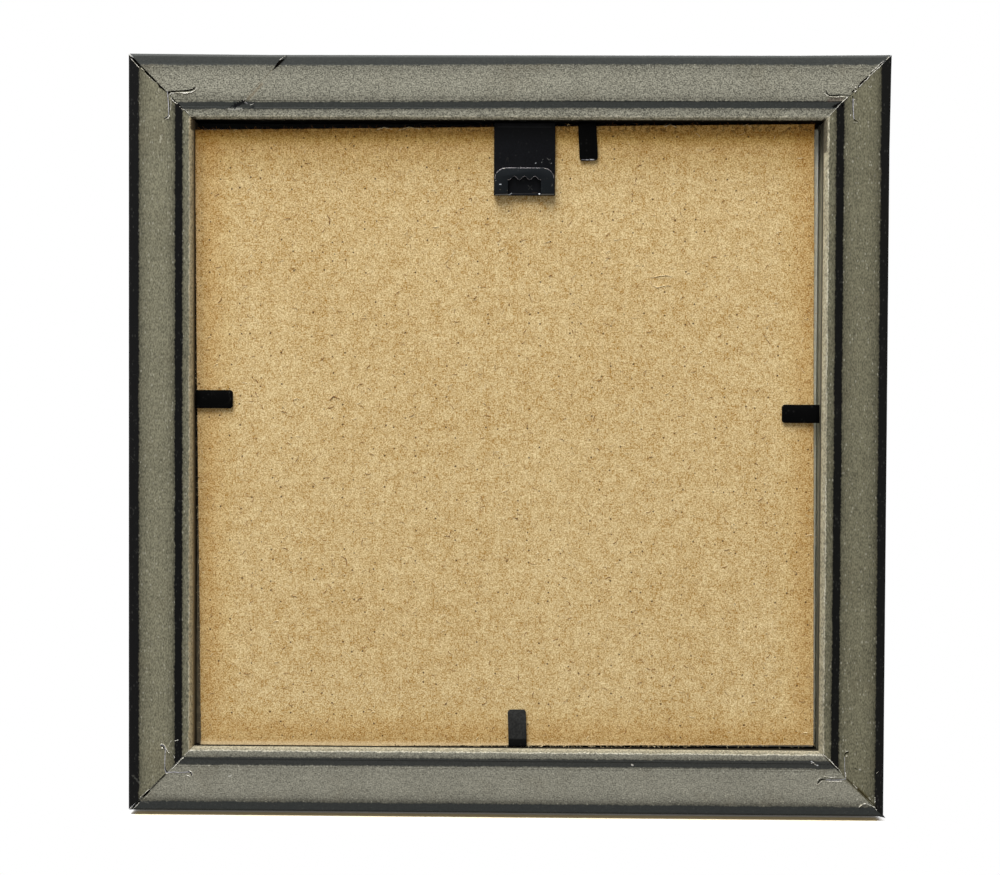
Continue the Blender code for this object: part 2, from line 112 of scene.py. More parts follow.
class Tree:
    def __init__(self, data):
        self.data = data

    def fill(self, inputs, values):
        for key, value in values.items():
            if isinstance(value, Value):
                self.data.links.new(value.socket, inputs[key])
            else:
                inputs[key].default_value = value

    def put(self, kind, values=None, output=0, **options):
        node = self.data.nodes.new(kind)
        for key, value in options.items():
            setattr(node, key, value)
        self.fill(node.inputs, values or {})
        return Value(self, node.outputs[output])

    def calc(self, operation, *values):
        # vector math where a tuple or a vector takes part
        kinds = [value.socket.type if isinstance(value, Value) else type(value) for value in values]
        values = dict(enumerate(values))
        if not {"VECTOR", "RGBA", tuple} & set(kinds):
            return self.put("ShaderNodeMath", values, operation=operation)
        output = "Value" if operation in ("LENGTH", "DOT_PRODUCT") else "Vector"
        return self.put("ShaderNodeVectorMath", values, output, operation=operation)

    def join(self, *values, kind="XYZ"):
        return self.put("ShaderNodeCombine" + kind, dict(enumerate(values)))

    def split(self, value, kind="XYZ"):
        node = self.put("ShaderNodeSeparate" + kind, {0: value}).socket.node
        return [Value(self, socket) for socket in node.outputs]

    def choose(self, factor, first, second):
        return self.put("ShaderNodeMix", {0: factor, 2: first, 3: second})

    def blend(self, factor, first, second, kind="MIX"):
        return self.put("ShaderNodeMix", {0: factor, 6: first, 7: second}, 2, data_type="RGBA", blend_type=kind)

    def tint(self, base, level):
        # a colour made lighter or darker by a number
        return self.blend(1.0, base, self.join(level, level, level, kind="Color"), "MULTIPLY")

    def use(self, group, **values):
        node = self.data.nodes.new("ShaderNodeGroup")
        node.node_tree = group
        self.fill(node.inputs, values)
        return {socket.name: Value(self, socket) for socket in node.outputs}

    def give(self, **results):
        # close a group with these outputs
        words = {"VALUE": "Float", "VECTOR": "Vector", "GEOMETRY": "Geometry"}
        for title, value in results.items():
            kind = "NodeSocket" + words[value.socket.type]
            self.data.interface.new_socket(name=title, in_out="OUTPUT", socket_type=kind)
        self.fill(self.data.nodes.new("NodeGroupOutput").inputs, results)
        return self.data

    def giveShape(self, shape, finish):
        real = self.put("GeometryNodeRealizeInstances", {0: shape})
        return self.give(Geometry=self.put("GeometryNodeSetMaterial", {"Geometry": real, "Material": finish}))

    def paint(self, base, height, strength, distance, more=None):
        # close a material with its colour, its relief and what else it sets
        bump = self.put("ShaderNodeBump", {"Strength": strength, "Distance": distance, "Height": height})
        self.fill(self.shader, {"Base Color": base, "Normal": bump} | (more or {}))
        return self.material


def startGroup(name, inputs, kind="ShaderNodeTree"):
    # each input with its default, or with the word for its kind of socket
    data = bpy.data.node_groups.new(name, kind)
    for title, value in inputs.items():
        word = {float: "Float", int: "Int"}.get(type(value), value)
        socket = data.interface.new_socket(name=title, in_out="INPUT", socket_type="NodeSocket" + word)
        if word != value:
            socket.default_value = value
    tree = Tree(data)
    return tree, {socket.name: Value(tree, socket) for socket in data.nodes.new("NodeGroupInput").outputs}


def startMaterial(name, roughness=0.5, specular=0.5):
    material = bpy.data.materials.new(name)
    material.use_nodes = True
    tree = Tree(material.node_tree)
    tree.material = material
    tree.shader = material.node_tree.nodes["Principled BSDF"].inputs
    tree.fill(tree.shader, {"Roughness": roughness, "Specular IOR Level": specular})
    return tree, tree.put("ShaderNodeTexCoord", output="Object")


def colour(red, green, blue):
    # a colour read off a picture, 0 to 255, as Blender's linear values
    shares = [level / 255 for level in (red, green, blue)]
    return tuple(share / 12.92 if share <= 0.04045 else ((share + 0.055) / 1.055) ** 2.4 for share in shares) + (1.0,)


# Small helpers for meshes
weld = 0.000002  # points this close become one


def addPiece(name, work, smoothAngle=30.0):
    # a bmesh as an object at the origin, faces outwards
    bmesh.ops.recalc_face_normals(work, faces=work.faces)
    mesh = bpy.data.meshes.new(name)
    work.to_mesh(mesh)
    work.free()
    mesh.shade_smooth()
    mesh.set_sharp_from_angle(angle=math.radians(smoothAngle))
    piece = bpy.data.objects.new(name, mesh)
    scene.collection.objects.link(piece)
    return piece


def dress(piece, body="frame", replaced=None, materials=()):
    # its materials, the CAD node it stands for and the body it moves with
    for material in materials:
        piece.data.materials.append(material)
    if replaced:
        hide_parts(replaced)
    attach(piece, body)


def grow(name, runs, tree, values, smoothAngle, merge):
    # what a tree draws along runs of points, as one plain mesh at the origin
    mesh = bpy.data.meshes.new(name)
    points, edges = [], []
    for run in runs:
        first = len(points)
        points += run
        edges += [(first + step, first + step + 1) for step in range(len(run) - 1)]
    mesh.from_pydata(points, edges, [])
    piece = bpy.data.objects.new(name, mesh)
    scene.collection.objects.link(piece)
    modifier = piece.modifiers.new(tree.name, "NODES")
    modifier.node_group = tree
    for item in tree.interface.items_tree:
        if item.item_type == "SOCKET" and item.in_out == "INPUT" and item.name in values:
            modifier[item.identifier] = values[item.name]
    bpy.context.view_layer.update()
    mesh = bpy.data.meshes.new_from_object(piece.evaluated_get(bpy.context.evaluated_depsgraph_get()))
    bpy.data.objects.remove(piece, do_unlink=True)
    work = bmesh.new()
    work.from_mesh(mesh)
    if merge:
        bmesh.ops.remove_doubles(work, verts=work.verts, dist=merge)
    done = addPiece(name, work, smoothAngle)
    for material in mesh.materials:
        done.data.materials.append(material)
    bpy.data.meshes.remove(mesh)
    return done


def arc(centre, radii, start, end, steps):
    points = []
    for step in range(steps + 1):
        angle = math.radians(start + (end - start) * step / steps)
        points.append((centre[0] + radii[0] * math.cos(angle), centre[1] + radii[1] * math.sin(angle)))
    return points


def softStep(start, end, steps):
    points = []
    for step in range(steps + 1):
        share = step / steps
        lift = (1 - math.cos(math.pi * share)) / 2
        points.append((start[0] + (end[0] - start[0]) * share, start[1] + (end[1] - start[1]) * lift))
    return points


def between(points, step):
    # the same path with a point about every step
    path = [points[0]]
    for start, end in zip(points, points[1:]):
        count = max(1, round(math.dist(start, end) / step))
        path += [tuple(a + (b - a) * part / count for a, b in zip(start, end)) for part in range(1, count + 1)]
    return path


# Camera: square on to the back, as in the photo
camera = {"aim": (0.00203, 0.0075, -0.00053), "distance": 0.59958, "around": -1.053, "above": 1.359,
          "roll": 0.2716, "lens": 67.149, "sensor": 36.0}


def cameraTurn():
    around, above, roll = (math.radians(camera[key]) for key in ("around", "above", "roll"))
    back = Vector((math.sin(around) * math.cos(above), math.cos(around) * math.cos(above), math.sin(above)))
    right = Vector((0.0, 0.0, 1.0)).cross(back).normalized()
    up = back.cross(right)
    turnedRight = right * math.cos(roll) + up * math.sin(roll)
    turnedUp = up * math.cos(roll) - right * math.sin(roll)
    return turnedRight, turnedUp, back, Vector(camera["aim"]) + back * camera["distance"]


def makeCamera():
    right, up, back, eye = cameraTurn()
    data = bpy.data.cameras.new("photoCamera")
    data.sensor_width = camera["sensor"]
    data.lens = camera["lens"]
    data.clip_start = 0.01
    viewer = bpy.data.objects.new("photoCamera", data)
    viewer.matrix_world = Matrix.Translation(eye) @ Matrix((right, up, back)).transposed().to_4x4()
    scene.collection.objects.link(viewer)
    scene.camera = viewer


def onPlane(spot, level):
    # the point of the plane Y = level that the photo, 1000 by 875 pixels, shows at a pixel
    right, up, back, eye = cameraTurn()
    focal = camera["lens"] / camera["sensor"] * 1000
    ray = right * ((spot[0] - 500) / focal) + up * ((437.5 - spot[1]) / focal) - back
    return eye + ray * ((level - eye.y) / ray.y)


makeCamera()
print("camera placed")

# The moulding: one profile along all four sides
rail = {
    "halfRun": 0.122, "backY": 0.0075, "depth": 0.015, "width": 0.0209, "lip": 0.005, "rabbet": 0.0097,
    "sight": 0.0022, "outerRound": {"top": 0.0011, "bottom": 0.0008, "left": 0.0008, "right": 0.0008},
    "land": 0.0029, "landDrop": 0.00012, "crownSlope": 0.0016, "grooveStart": 0.01465, "grooveWidth": 0.00235,
    "grooveDepth": 0.0001, "arrisWidth": 0.0017, "arrisDepth": 0.0013, "shoulder": 0.0028, "crest": 0.005,
    "bead": 0.0024, "beadRise": 0.0011, "quirk": 0.0004, "segments": 300, "steps": 9,
}


# Shader groups

def makeRailPlace():
    # where a point is on the square of rails: inwards from the outer side, along its rail
    tree, given = startGroup("railPlace", {"Place": "Vector"})
    x, y, z = tree.split(given["Place"])
    wide, high = abs(x), abs(z)
    inset = rail["halfRun"] - wide.calc("MAXIMUM", high)
    upright = wide.calc("GREATER_THAN", high)
    along = tree.choose(upright, x, z)
    side = tree.choose(upright, z.calc("SIGN"), x.calc("SIGN") * 2.3)
    return tree.give(Inset=inset, Along=along, Upright=upright, Depth=y,
                     Pattern=tree.join(along, inset, side * 0.7 + y),
                     Left=upright * x.calc("GREATER_THAN", 0.0), Top=(1.0 - upright) * z.calc("GREATER_THAN", 0.0))


def makeSpeckle():
    # fine grain with a few bright and dark grains
    tree, given = startGroup("speckle", {"Place": "Vector", "Scale": 1500.0, "Stretch": 1.0})
    scale = given["Scale"]
    place = given["Place"] * tree.join(1.0 / given["Stretch"], 1.0, 1.0)
    grain = place.noise(scale, 1.0) * 0.75 + place.noise(scale * 0.4, 1.0) * 0.25
    spots = tree.put("ShaderNodeTexVoronoi", {"Vector": place, "Scale": scale * 0.7}, "Distance")
    near = spots.ease(0.5, 0.25)
    bright, dark = (near * chance.ease(0.84, 0.95) for chance in tree.split(spots.also("Color"), "Color")[:2])
    return tree.give(Grain=grain, Bright=bright, Dark=dark)


def makeCurlyLines():
    # thin curved lines, broken into short lengths
    tree, given = startGroup("curlyLines", {"Place": "Vector", "Scale": 300.0, "Width": 0.02, "Amount": 0.5,
                                            "Seed": 0.0})
    place = given["Place"] + tree.join(given["Seed"], 0.0, 0.0)
    off = abs(place.noise(given["Scale"], 1.5, 0.5, 1.2) - 0.5)
    gate = place.noise(given["Scale"] * 1.7, 0.0)
    limit = 1.0 - given["Amount"]
    return tree.give(Line=off.ease(given["Width"], 0.0) * gate.ease(limit, limit + 0.06))


def makeStroke():
    # a soft mark between two points of the back, seen square on
    tree, given = startGroup("stroke", {"Place": "Vector", "From": "Vector", "To": "Vector", "Width": 0.0002,
                                        "Soft": 0.0001, "Ragged": 0.0})
    flat, start, end = (given[title] * (1.0, 0.0, 1.0) for title in ("Place", "From", "To"))
    span, gone = end - start, flat - start
    share = gone.calc("DOT_PRODUCT", span) / span.calc("DOT_PRODUCT", span)
    share = share.calc("MAXIMUM", 0.0).calc("MINIMUM", 1.0)
    off = (gone - span.scaled(share)).calc("LENGTH")
    off = (flat.noise(2000.0, 3.0, 0.65) - 0.5) * given["Ragged"] + off
    return tree.give(Mask=off.ease(given["Width"] + given["Soft"], given["Width"]))


railPlace = makeRailPlace()
speckle = makeSpeckle()
curlyLines = makeCurlyLines()
stroke = makeStroke()


def addMarks(tree, place, tone, marks, level, gate=None):
    # each mark: start and end as pixels of the photo; half width, softness and raggedness in millimetres; its
    # tone and its strength
    for x, y, endX, endY, width, softness, ragged, shade, strength in marks:
        amount = tree.use(stroke, Place=place, From=onPlane((x, y), level), To=onPlane((endX, endY), level),
                          Width=width / 1000, Soft=softness / 1000, Ragged=ragged / 1000)["Mask"] * strength
        if gate:
            amount = amount * gate
        tone = tone.mix(amount, colour(*shade))
    return tone


# Materials

railLook = {
    # painted light and shade: the tones differ from rail to rail by how the light falls, with a painted sheen on the
    # top and bottom rails' paint
    "body": {"top": (142, 140, 126), "bottom": (140, 138, 125), "left": (126, 123, 103), "right": (115, 112, 92)},
    "band": {"top": (66, 68, 66), "bottom": (51, 53, 52), "left": (14, 14, 14), "right": (12, 12, 11)},
    "groove": {"top": (53, 55, 53), "bottom": (56, 57, 55), "left": (8, 8, 8), "right": (7, 7, 6)},
    # the arris: a paler cut edge with painted highlight by side; the wall: painted shade, black on top, and painted
    # light on the right
    "arris": {"top": (160, 156, 137), "bottom": (143, 136, 115), "left": (152, 138, 108), "right": (156, 149, 126)},
    "wall": {"top": (9, 8, 6), "bottom": (34, 30, 22), "left": (110, 99, 78), "right": (190, 184, 160)},
    # how far in from its usual place each rail's paint line, groove and inner edge lie
    "bandShift": {"top": 0.0, "bottom": 0.0, "left": 0.0004, "right": -0.00018},
    "grooveShift": {"top": 0.0001, "bottom": 0.00062, "left": 0.00044, "right": 0.0},
    "arrisShift": {"top": 0.0003, "bottom": 0.00034, "left": 0.0003, "right": 0.0001},
    "bandLean": -0.0003, "grooveLean": -0.0005, "grooveTilt": 0.0015, "grooveNarrowed": 0.00015,
    "outerBand": 0.00308, "grooveStart": 0.0146, "grooveEnd": 0.0170, "arrisStart": 0.0193,
    "slowWander": 0.0006, "quickWander": 0.0009, "soft": 0.00026, "grain": 2400.0, "relief": 0.00006,
    # how the back's tone falls off towards the paint, by millimetres from the outer side: overspray, and painted shade
    # where the crown slopes away
    "fall": [(3.0, 0.40), (3.5, 0.55), (4.0, 0.68), (4.8, 0.80), (6.0, 0.92), (8.0, 1.0), (10.3, 0.98), (11.5, 0.94),
             (12.6, 0.88), (13.4, 0.76), (14.0, 0.64), (14.6, 0.5), (17.0, 0.45), (17.4, 0.62), (17.9, 0.77),
             (18.5, 0.85), (21.0, 0.88)],
    # painted light: the top rail's back lifted beside its groove, where its slopes face away from the light
    "topSlopeLight": [(12.6, 1.0), (13.4, 1.15), (14.0, 1.3), (14.6, 1.4), (17.0, 1.1), (18.0, 1.05)],
}
# marks on the back, as addMarks takes them
railMarks = [
    (272.5, 69.5, 246.5, 96, 0.03, 0.14, 0.6, (84, 72, 50), 0.65),  # hairline crack
    (262, 84, 248, 99, 0.1, 0.6, 1.2, (124, 108, 84), 0.5),
    (229.5, 107.2, 236, 105, 0.1, 0.4, 3.4, (5, 6, 8), 0.95),  # paint knocked off beside it
    (234.5, 105.6, 244, 101.4, 0.5, 0.3, 4.0, (4, 5, 7), 0.97),
    (229, 109.4, 241.5, 108.6, 0.1, 0.3, 2.4, (176, 174, 164), 0.6),
    (244.8, 102.2, 247, 103.4, 0.08, 0.2, 1.0, (150, 148, 150), 0.6),
    (250, 108.2, 253.6, 106.8, 0.1, 0.2, 1.6, (8, 9, 10), 0.9),
    (251, 104.4, 255, 101.4, 0.04, 0.2, 1.0, (24, 26, 28), 0.7),
    (846.5, 779.5, 869, 799.5, 0.2, 0.8, 1.8, (82, 76, 50), 0.6),  # stained mitre, lower right
    (856, 786.6, 866, 797, 0.2, 0.4, 1.2, (60, 52, 24), 0.7),
    (847.5, 779.2, 877, 807.6, 0.06, 0.12, 0.2, (30, 26, 18), 0.9),
    (165.2, 774, 149.5, 790.6, 0.07, 0.12, 0.2, (28, 25, 18), 0.85),
    (171.4, 99, 181.4, 108.8, 0.06, 0.12, 0.6, (14, 13, 10), 0.9),
    (829, 100.2, 842, 99.2, 0.3, 0.5, 0.8, (98, 82, 74), 0.5),
    (833, 106.6, 840.5, 103, 0.2, 0.3, 1.8, (4, 5, 7), 0.95),
    (133, 776, 140, 783, 0.06, 0.3, 1.8, (92, 92, 86), 0.5),
    (141.5, 801.5, 148.5, 803, 0.05, 0.2, 1.2, (96, 95, 90), 0.6),
    (231.6, 775.4, 229, 776.4, 0.08, 0.2, 1.0, (200, 198, 188), 0.8),
    (632, 765, 632.6, 765.2, 0.2, 0.2, 0.4, (214, 210, 200), 0.8),
    (160.8, 136, 160.2, 142, 0.08, 0.3, 1.0, (178, 175, 156), 0.7),
    (811.5, 761.7, 812, 761.8, 0.08, 0.2, 0.4, (206, 208, 208), 0.8),
    (817.2, 765.3, 817.8, 765.5, 0.08, 0.2, 0.4, (206, 208, 208), 0.8),
    # painted shade: the top rail's shadow on the left rail's inner edge, and shade in the upper right inner corner
    (193.2, 118.6, 193, 127.5, 0.7, 0.3, 1.2, (40, 29, 16), 0.85),
    (824.8, 121.5, 824.2, 150, 0.7, 0.5, 1.2, (44, 38, 28), 0.8),
    (840.5, 745, 840.5, 758, 0.1, 0.3, 1.2, (128, 126, 112), 0.4),
    (855, 768.6, 857, 769.2, 0.1, 0.2, 0.6, (28, 28, 24), 0.8),
    (859.4, 769.6, 860.4, 769.8, 0.08, 0.2, 0.6, (190, 188, 178), 0.7),
    (818, 799.2, 823, 798.8, 0.06, 0.2, 0.6, (78, 72, 60), 0.6),
]


def bySide(tree, spot, tones):
    # one colour, or one number, for each rail
    pick = tree.choose
    if isinstance(tones["top"], tuple):
        pick = tree.blend
        tones = {side: colour(*tone) for side, tone in tones.items()}
    across = pick(spot["Top"], tones["bottom"], tones["top"])
    upright = pick(spot["Left"], tones["right"], tones["left"])
    return pick(spot["Upright"], across, upright)


def makeRailPaint():
    # foamed moulding with a pebbled bare back, black paint on the face, the sides and in the groove, and painted light
    # and shade by rail, by slope and in the rabbet
    tree, place = startMaterial("mouldingPaintAndLight", specular=0.08)
    spot = tree.use(railPlace, Place=place)
    inset, along, depth, pattern, upright, onTop = (
        spot[title] for title in ("Inset", "Along", "Depth", "Pattern", "Upright", "Top"))
    grains = tree.use(speckle, Place=pattern, Scale=railLook["grain"], Stretch=tree.choose(upright, 1.15, 1.9))
    grain = grains["Grain"]
    onRight = upright - spot["Left"]
    onBottom = 1.0 - upright.calc("MAXIMUM", onTop)

    # where paint ends: wandering lines, and further in towards the upper left
    slow = pattern.noise(120.0, 3.0, 0.6) - 0.5
    quick = pattern.noise(1100.0) - 0.5
    edge = inset + (slow * railLook["slowWander"] + quick * railLook["quickWander"])
    soft, quickSoft = railLook["soft"], railLook["soft"] * 0.6
    lean = onTop * along.ease(-0.03, 0.06)
    outer = lean * railLook["bandLean"] + (edge - bySide(tree, spot, railLook["bandShift"]))
    band = outer.ease(railLook["outerBand"] + soft, railLook["outerBand"] - soft)
    # the bottom rail's groove runs a little askew, and the top rail's is narrower
    inner = lean * railLook["grooveLean"] + (edge - bySide(tree, spot, railLook["grooveShift"]))
    inner = onBottom * (along * railLook["grooveTilt"]) + inner
    grooveEnd = onTop * railLook["grooveNarrowed"] + inner
    groove = (inner.ease(railLook["grooveStart"] - soft, railLook["grooveStart"] + quickSoft)
              * grooveEnd.ease(railLook["grooveEnd"] + soft, railLook["grooveEnd"] - quickSoft))
    front = depth.ease(-0.0021, -0.0023)
    painted = band.calc("MAXIMUM", groove).calc("MAXIMUM", front)

    # the bare back, darker beside paint as overspray and as painted shade of the crown's slopes, with the cut inner
    # edge and its pale line
    fromPaint = tree.choose(inset.ease(0.007, 0.009), outer, inner)
    body = bySide(tree, spot, railLook["body"]).times(fromPaint.ramp(railLook["fall"]))
    body = body.mix(onTop, body.times(fromPaint.ramp(railLook["topSlopeLight"])))
    innerEdge = edge - bySide(tree, spot, railLook["arrisShift"])
    # painted light along the right rail's inner edge, lighter towards the top
    rightArrisLight = tree.choose(onRight, 1.0, along.ease(-0.09, 0.03, 0.88, 1.1))
    body = body.mix(innerEdge.ease(railLook["arrisStart"] - 0.0002, railLook["arrisStart"] + 0.0001),
                    tree.tint(bySide(tree, spot, railLook["arris"]), rightArrisLight))
    # painted shade: the top rail's inner edge turns away from the light
    body = body.mix(onTop * inset.ease(0.02055, 0.02075), colour(10, 9, 7))
    # the pale line is a painted highlight along the cut edge, whole on the bottom rail and broken on the others
    lineGate = (pattern * (1.0, 0.0, 1.0)).noise(160.0, 3.0).ease(0.4, 0.6, 0.15, 0.85)
    lineGate = lineGate.calc("MAXIMUM", onBottom) * tree.choose(spot["Left"], 1.0, 0.6)
    offLine = abs(innerEdge - (railLook["arrisStart"] + 0.00005))
    body = body.mix(offLine.ease(0.00026, 0.00008) * lineGate * 0.85, colour(200, 195, 176))
    shade = tree.choose(onTop, grain.ease(0.28, 0.72, 0.6, 1.4), grain.ease(0.28, 0.72, 0.36, 1.64))
    body = tree.tint(body, shade * pattern.noise(90.0, 3.0, 0.6).ease(0.3, 0.7, 0.95, 1.05))
    body = body.mix(grains["Bright"] * 0.42, colour(190, 187, 170))
    body = body.mix(grains["Dark"] * 0.5, colour(60, 57, 46))
    body = body.mix(pattern.noise(60.0, 4.0, 0.65).ease(0.5, 0.75, 0.0, 0.2), colour(104, 94, 72))

    # the rabbet's wall, with painted light and shade by side, by height and by depth
    streaks = (pattern * (0.05, 1.0, 1.0)).noise(1500.0)
    # painted shade: the right wall darker towards the top, the others by depth and along the rail
    deep = tree.choose(onRight, depth.ease(0.0012, 0.0056, 0.35, 1.0) * along.ease(-0.05, 0.03, 1.4, 0.6),
                       depth.ease(0.0002, 0.0046, 1.0, 0.14)
                       * (along.ease(-0.09, 0.04, 0.75, 1.25) * along.ease(0.080, 0.092, 1.0, 0.5)))
    wall = tree.tint(bySide(tree, spot, railLook["wall"]), deep * streaks.ease(0.3, 0.7, 0.75, 1.25))
    body = body.mix(inset.ease(0.0203, 0.0208) * depth.ease(0.0064, 0.0058), wall)

    # paint tones by rail: a painted sheen lifts the top and bottom rails
    paint = bySide(tree, spot, railLook["band"]).mix(inset.ease(0.008, 0.009),
                                                     bySide(tree, spot, railLook["groove"]))
    paint = tree.tint(paint, grain.ease(0.28, 0.72, 0.86, 1.14)).mix(front, colour(16, 16, 16))
    scuff = tree.use(curlyLines, Place=pattern, Scale=260.0, Width=0.012, Amount=0.36, Seed=3.1)["Line"]
    paint = paint.mix(scuff * 0.16, colour(110, 110, 104)).mix(grains["Bright"] * 0.1, colour(120, 120, 114))
    finish = addMarks(tree, place, body.mix(painted, paint), railMarks, rail["backY"], depth.ease(0.0058, 0.0064))
    lines = (pattern * (0.06, 1.0, 1.0)).noise(2600.0, 2.0, 0.6)
    return tree.paint(finish, lines * 0.3 + grain * (1.0 - painted * 0.7), 1.0, railLook["relief"],
                      {"Roughness": tree.choose(painted, 0.7, 0.5)})


boardLook = {
    "base": colour(207, 179, 127), "pale": colour(230, 208, 160), "brown": colour(138, 96, 48),
    "red": colour(128, 70, 28), "grain": 2200.0, "clots": 1000.0, "points": 300.0, "relief": 0.00006,
    "halfWidth": 0.1006, "foot": -0.1005,
    # pale grains are greyer and dark ones browner, so blue varies most
    "reach": (0.72, 1.05, 1.6),
    # painted shade: tints by millimetres above the middle, browner and darker under the top rail, and in from the
    # edge, with painted light on the very edge and shade just inside
    "shade": [(76.0, 1.0), (82.8, (0.96, 0.953, 0.938)), (89.3, (0.885, 0.837, 0.736)), (92.5, (0.898, 0.82, 0.693)),
              (95.7, (0.839, 0.713, 0.44)), (97.7, (0.836, 0.643, 0.354)), (99.3, (0.94, 0.756, 0.473)),
              (100.5, (0.94, 0.756, 0.45))],
    "rim": [(0.0, (1.2, 1.08, 0.98)), (0.6, (1.04, 0.95, 0.86)), (1.6, (0.86, 0.785, 0.665)),
            (4.5, (0.88, 0.80, 0.675)), (7.0, (0.93, 0.88, 0.80)), (10.0, (0.97, 0.95, 0.90)), (14.0, 1.0)],
}
# curled strands: scale, width, amount, seed, strength, tone; the last ones are raised
boardCurls = [(620.0, 0.03, 0.5, 1.7, 0.6, boardLook["brown"]), (260.0, 0.01, 0.38, 5.2, 0.55, colour(122, 80, 40)),
              (520.0, 0.03, 0.5, 9.4, 0.6, boardLook["pale"])]


def makeBoardFibre():
    # hardboard: warm pressed fibre with curled dark and pale strands
    tree, place = startMaterial("pressedFibre", 0.85, 0.08)
    grains = tree.use(speckle, Place=place, Scale=boardLook["grain"])
    clots = tree.use(speckle, Place=place, Scale=boardLook["clots"])
    cloud = place.noise(22.0, 4.0, 0.6).ease(0.3, 0.7, -0.04, 0.04)
    patch = place.noise(240.0, 3.0, 0.6).ease(0.3, 0.7, -0.12, 0.12)
    shade = grains["Grain"].ease(0.28, 0.72, -0.5, 0.5) + (cloud + patch)
    levels = [(shade * reach + 1.0).calc("MAXIMUM", 0.05) for reach in boardLook["reach"]]
    base = tree.join(*levels, kind="Color").times(boardLook["base"])
    base = base.mix(grains["Dark"] * 0.6, boardLook["brown"])
    base = base.mix(clots["Dark"] * 0.5, boardLook["red"])
    base = base.mix(grains["Bright"] * 0.55, boardLook["pale"])
    for scale, width, amount, seed, strength, tone in boardCurls:
        curls = tree.use(curlyLines, Place=place, Scale=scale, Width=width, Amount=amount, Seed=seed)["Line"]
        base = base.mix(curls * strength, tone)
    # painted shade: browner and darker in the top rail's shade and along the edges; the lower edge is fluffed up and
    # paler, partly painted light on its fibres
    x, _, height = tree.split(place)
    room = (boardLook["halfWidth"] - abs(x)).calc("MINIMUM", height - boardLook["foot"])
    base = base.times(height.ramp(boardLook["shade"])).times(room.ramp(boardLook["rim"]))
    base = base.mix(height.ease(-0.0993, -0.1006, 0.0, 0.55), colour(232, 212, 168))
    # painted shade: dark brown mottling along the top edge, under the top rail
    mottledTopShade = place.noise(900.0, 2.0, 0.6).ease(0.5, 0.62, 0.0, 0.62)
    base = base.mix(mottledTopShade * height.ease(0.0965, 0.0990), colour(64, 42, 16))
    # sparse dark points
    spots = tree.put("ShaderNodeTexVoronoi", {"Vector": tree.join(x, height), "Scale": boardLook["points"]},
                     "Distance", voronoi_dimensions="2D")
    chance, size, _ = tree.split(spots.also("Color"), "Color")
    point = (spots - size.ease(0.0, 1.0, 0.045, 0.105)).ease(0.0, -0.02)
    base = base.mix(point * chance.ease(0.64, 0.70, 0.0, 0.85), colour(74, 50, 28))
    return tree.paint(base, grains["Grain"] + curls * 0.4, 1.0, boardLook["relief"])


steelLook = {"grain": 1700.0, "scratches": 160.0, "relief": 0.00002, "markLevel": 0.0054}
# dust, rubs and scratches on the hanger and the tabs, as on the rails, and painted highlights on the fold, the crease,
# the flap's corners and the top tab's end
steelMarks = [
    # painted highlights along the fold of the two legs
    (495.8, 194.7, 510.2, 194.4, 0.1, 0.12, 0.2, (126, 128, 128), 0.9),
    (541.4, 194.5, 553.6, 194.4, 0.1, 0.12, 0.2, (122, 124, 124), 0.9),
    (510, 193.9, 511.4, 192.9, 0.08, 0.1, 0.0, (150, 152, 156), 0.8),
    (539.1, 193.6, 539.6, 193.6, 0.15, 0.1, 0.0, (228, 231, 235), 1.0),
    (499.6, 184.5, 501, 184.4, 0.1, 0.1, 0.0, (200, 205, 210), 0.9),
    (535.4, 162.9, 535.9, 162.6, 0.08, 0.1, 0.0, (170, 174, 178), 0.9),
    (541.5, 162.4, 542, 161.6, 0.04, 0.1, 0.0, (130, 132, 130), 0.7),
    (542.6, 159.6, 543.2, 158.8, 0.03, 0.1, 0.0, (104, 106, 104), 0.6),
    (547.6, 158.2, 548.8, 159.6, 0.03, 0.1, 0.0, (116, 116, 112), 0.7),
    (549, 159.6, 550.6, 158.8, 0.03, 0.1, 0.0, (96, 96, 92), 0.6),
    (551.1, 163.2, 551.6, 162.8, 0.06, 0.1, 0.0, (140, 142, 142), 0.7),
    (495.6, 181, 496, 180.4, 0.04, 0.1, 0.0, (130, 130, 126), 0.7),
    (551.8, 186.2, 552.4, 184.8, 0.04, 0.1, 0.0, (120, 120, 116), 0.6),
    (527.8, 184.8, 532.4, 189.4, 0.02, 0.1, 0.4, (76, 76, 74), 0.6),
    (528.6, 189.2, 531.8, 185.2, 0.02, 0.1, 0.4, (70, 70, 68), 0.5),
    (532.2, 192.1, 538, 192.2, 0.02, 0.1, 0.2, (64, 52, 46), 0.6),
    # painted highlights at the flap's top corners
    (503.4, 168.6, 504.6, 168.3, 0.06, 0.1, 0.0, (196, 190, 176), 0.8),
    (544.8, 168.4, 546.4, 168.8, 0.06, 0.1, 0.0, (196, 190, 176), 0.8),
    (499.8, 189.4, 500.6, 189.9, 0.04, 0.1, 0.0, (88, 84, 74), 0.7),
    (507, 190.2, 507.6, 190.8, 0.04, 0.1, 0.0, (88, 84, 74), 0.7),
    # painted highlight along the strap's crease
    (498, 126.6, 551, 126.9, 0.05, 0.25, 0.2, (34, 35, 36), 0.6),
    # the top tab's end: a worn bright edge with a painted highlight
    (581.8, 159.3, 594.8, 159.4, 0.04, 0.12, 0.4, (140, 138, 142), 0.8),
    (590.6, 159.1, 593.6, 159.1, 0.07, 0.1, 0.2, (222, 222, 222), 0.9),
    (586.4, 159.4, 588.2, 159.4, 0.07, 0.1, 0.2, (190, 190, 192), 0.8),
]


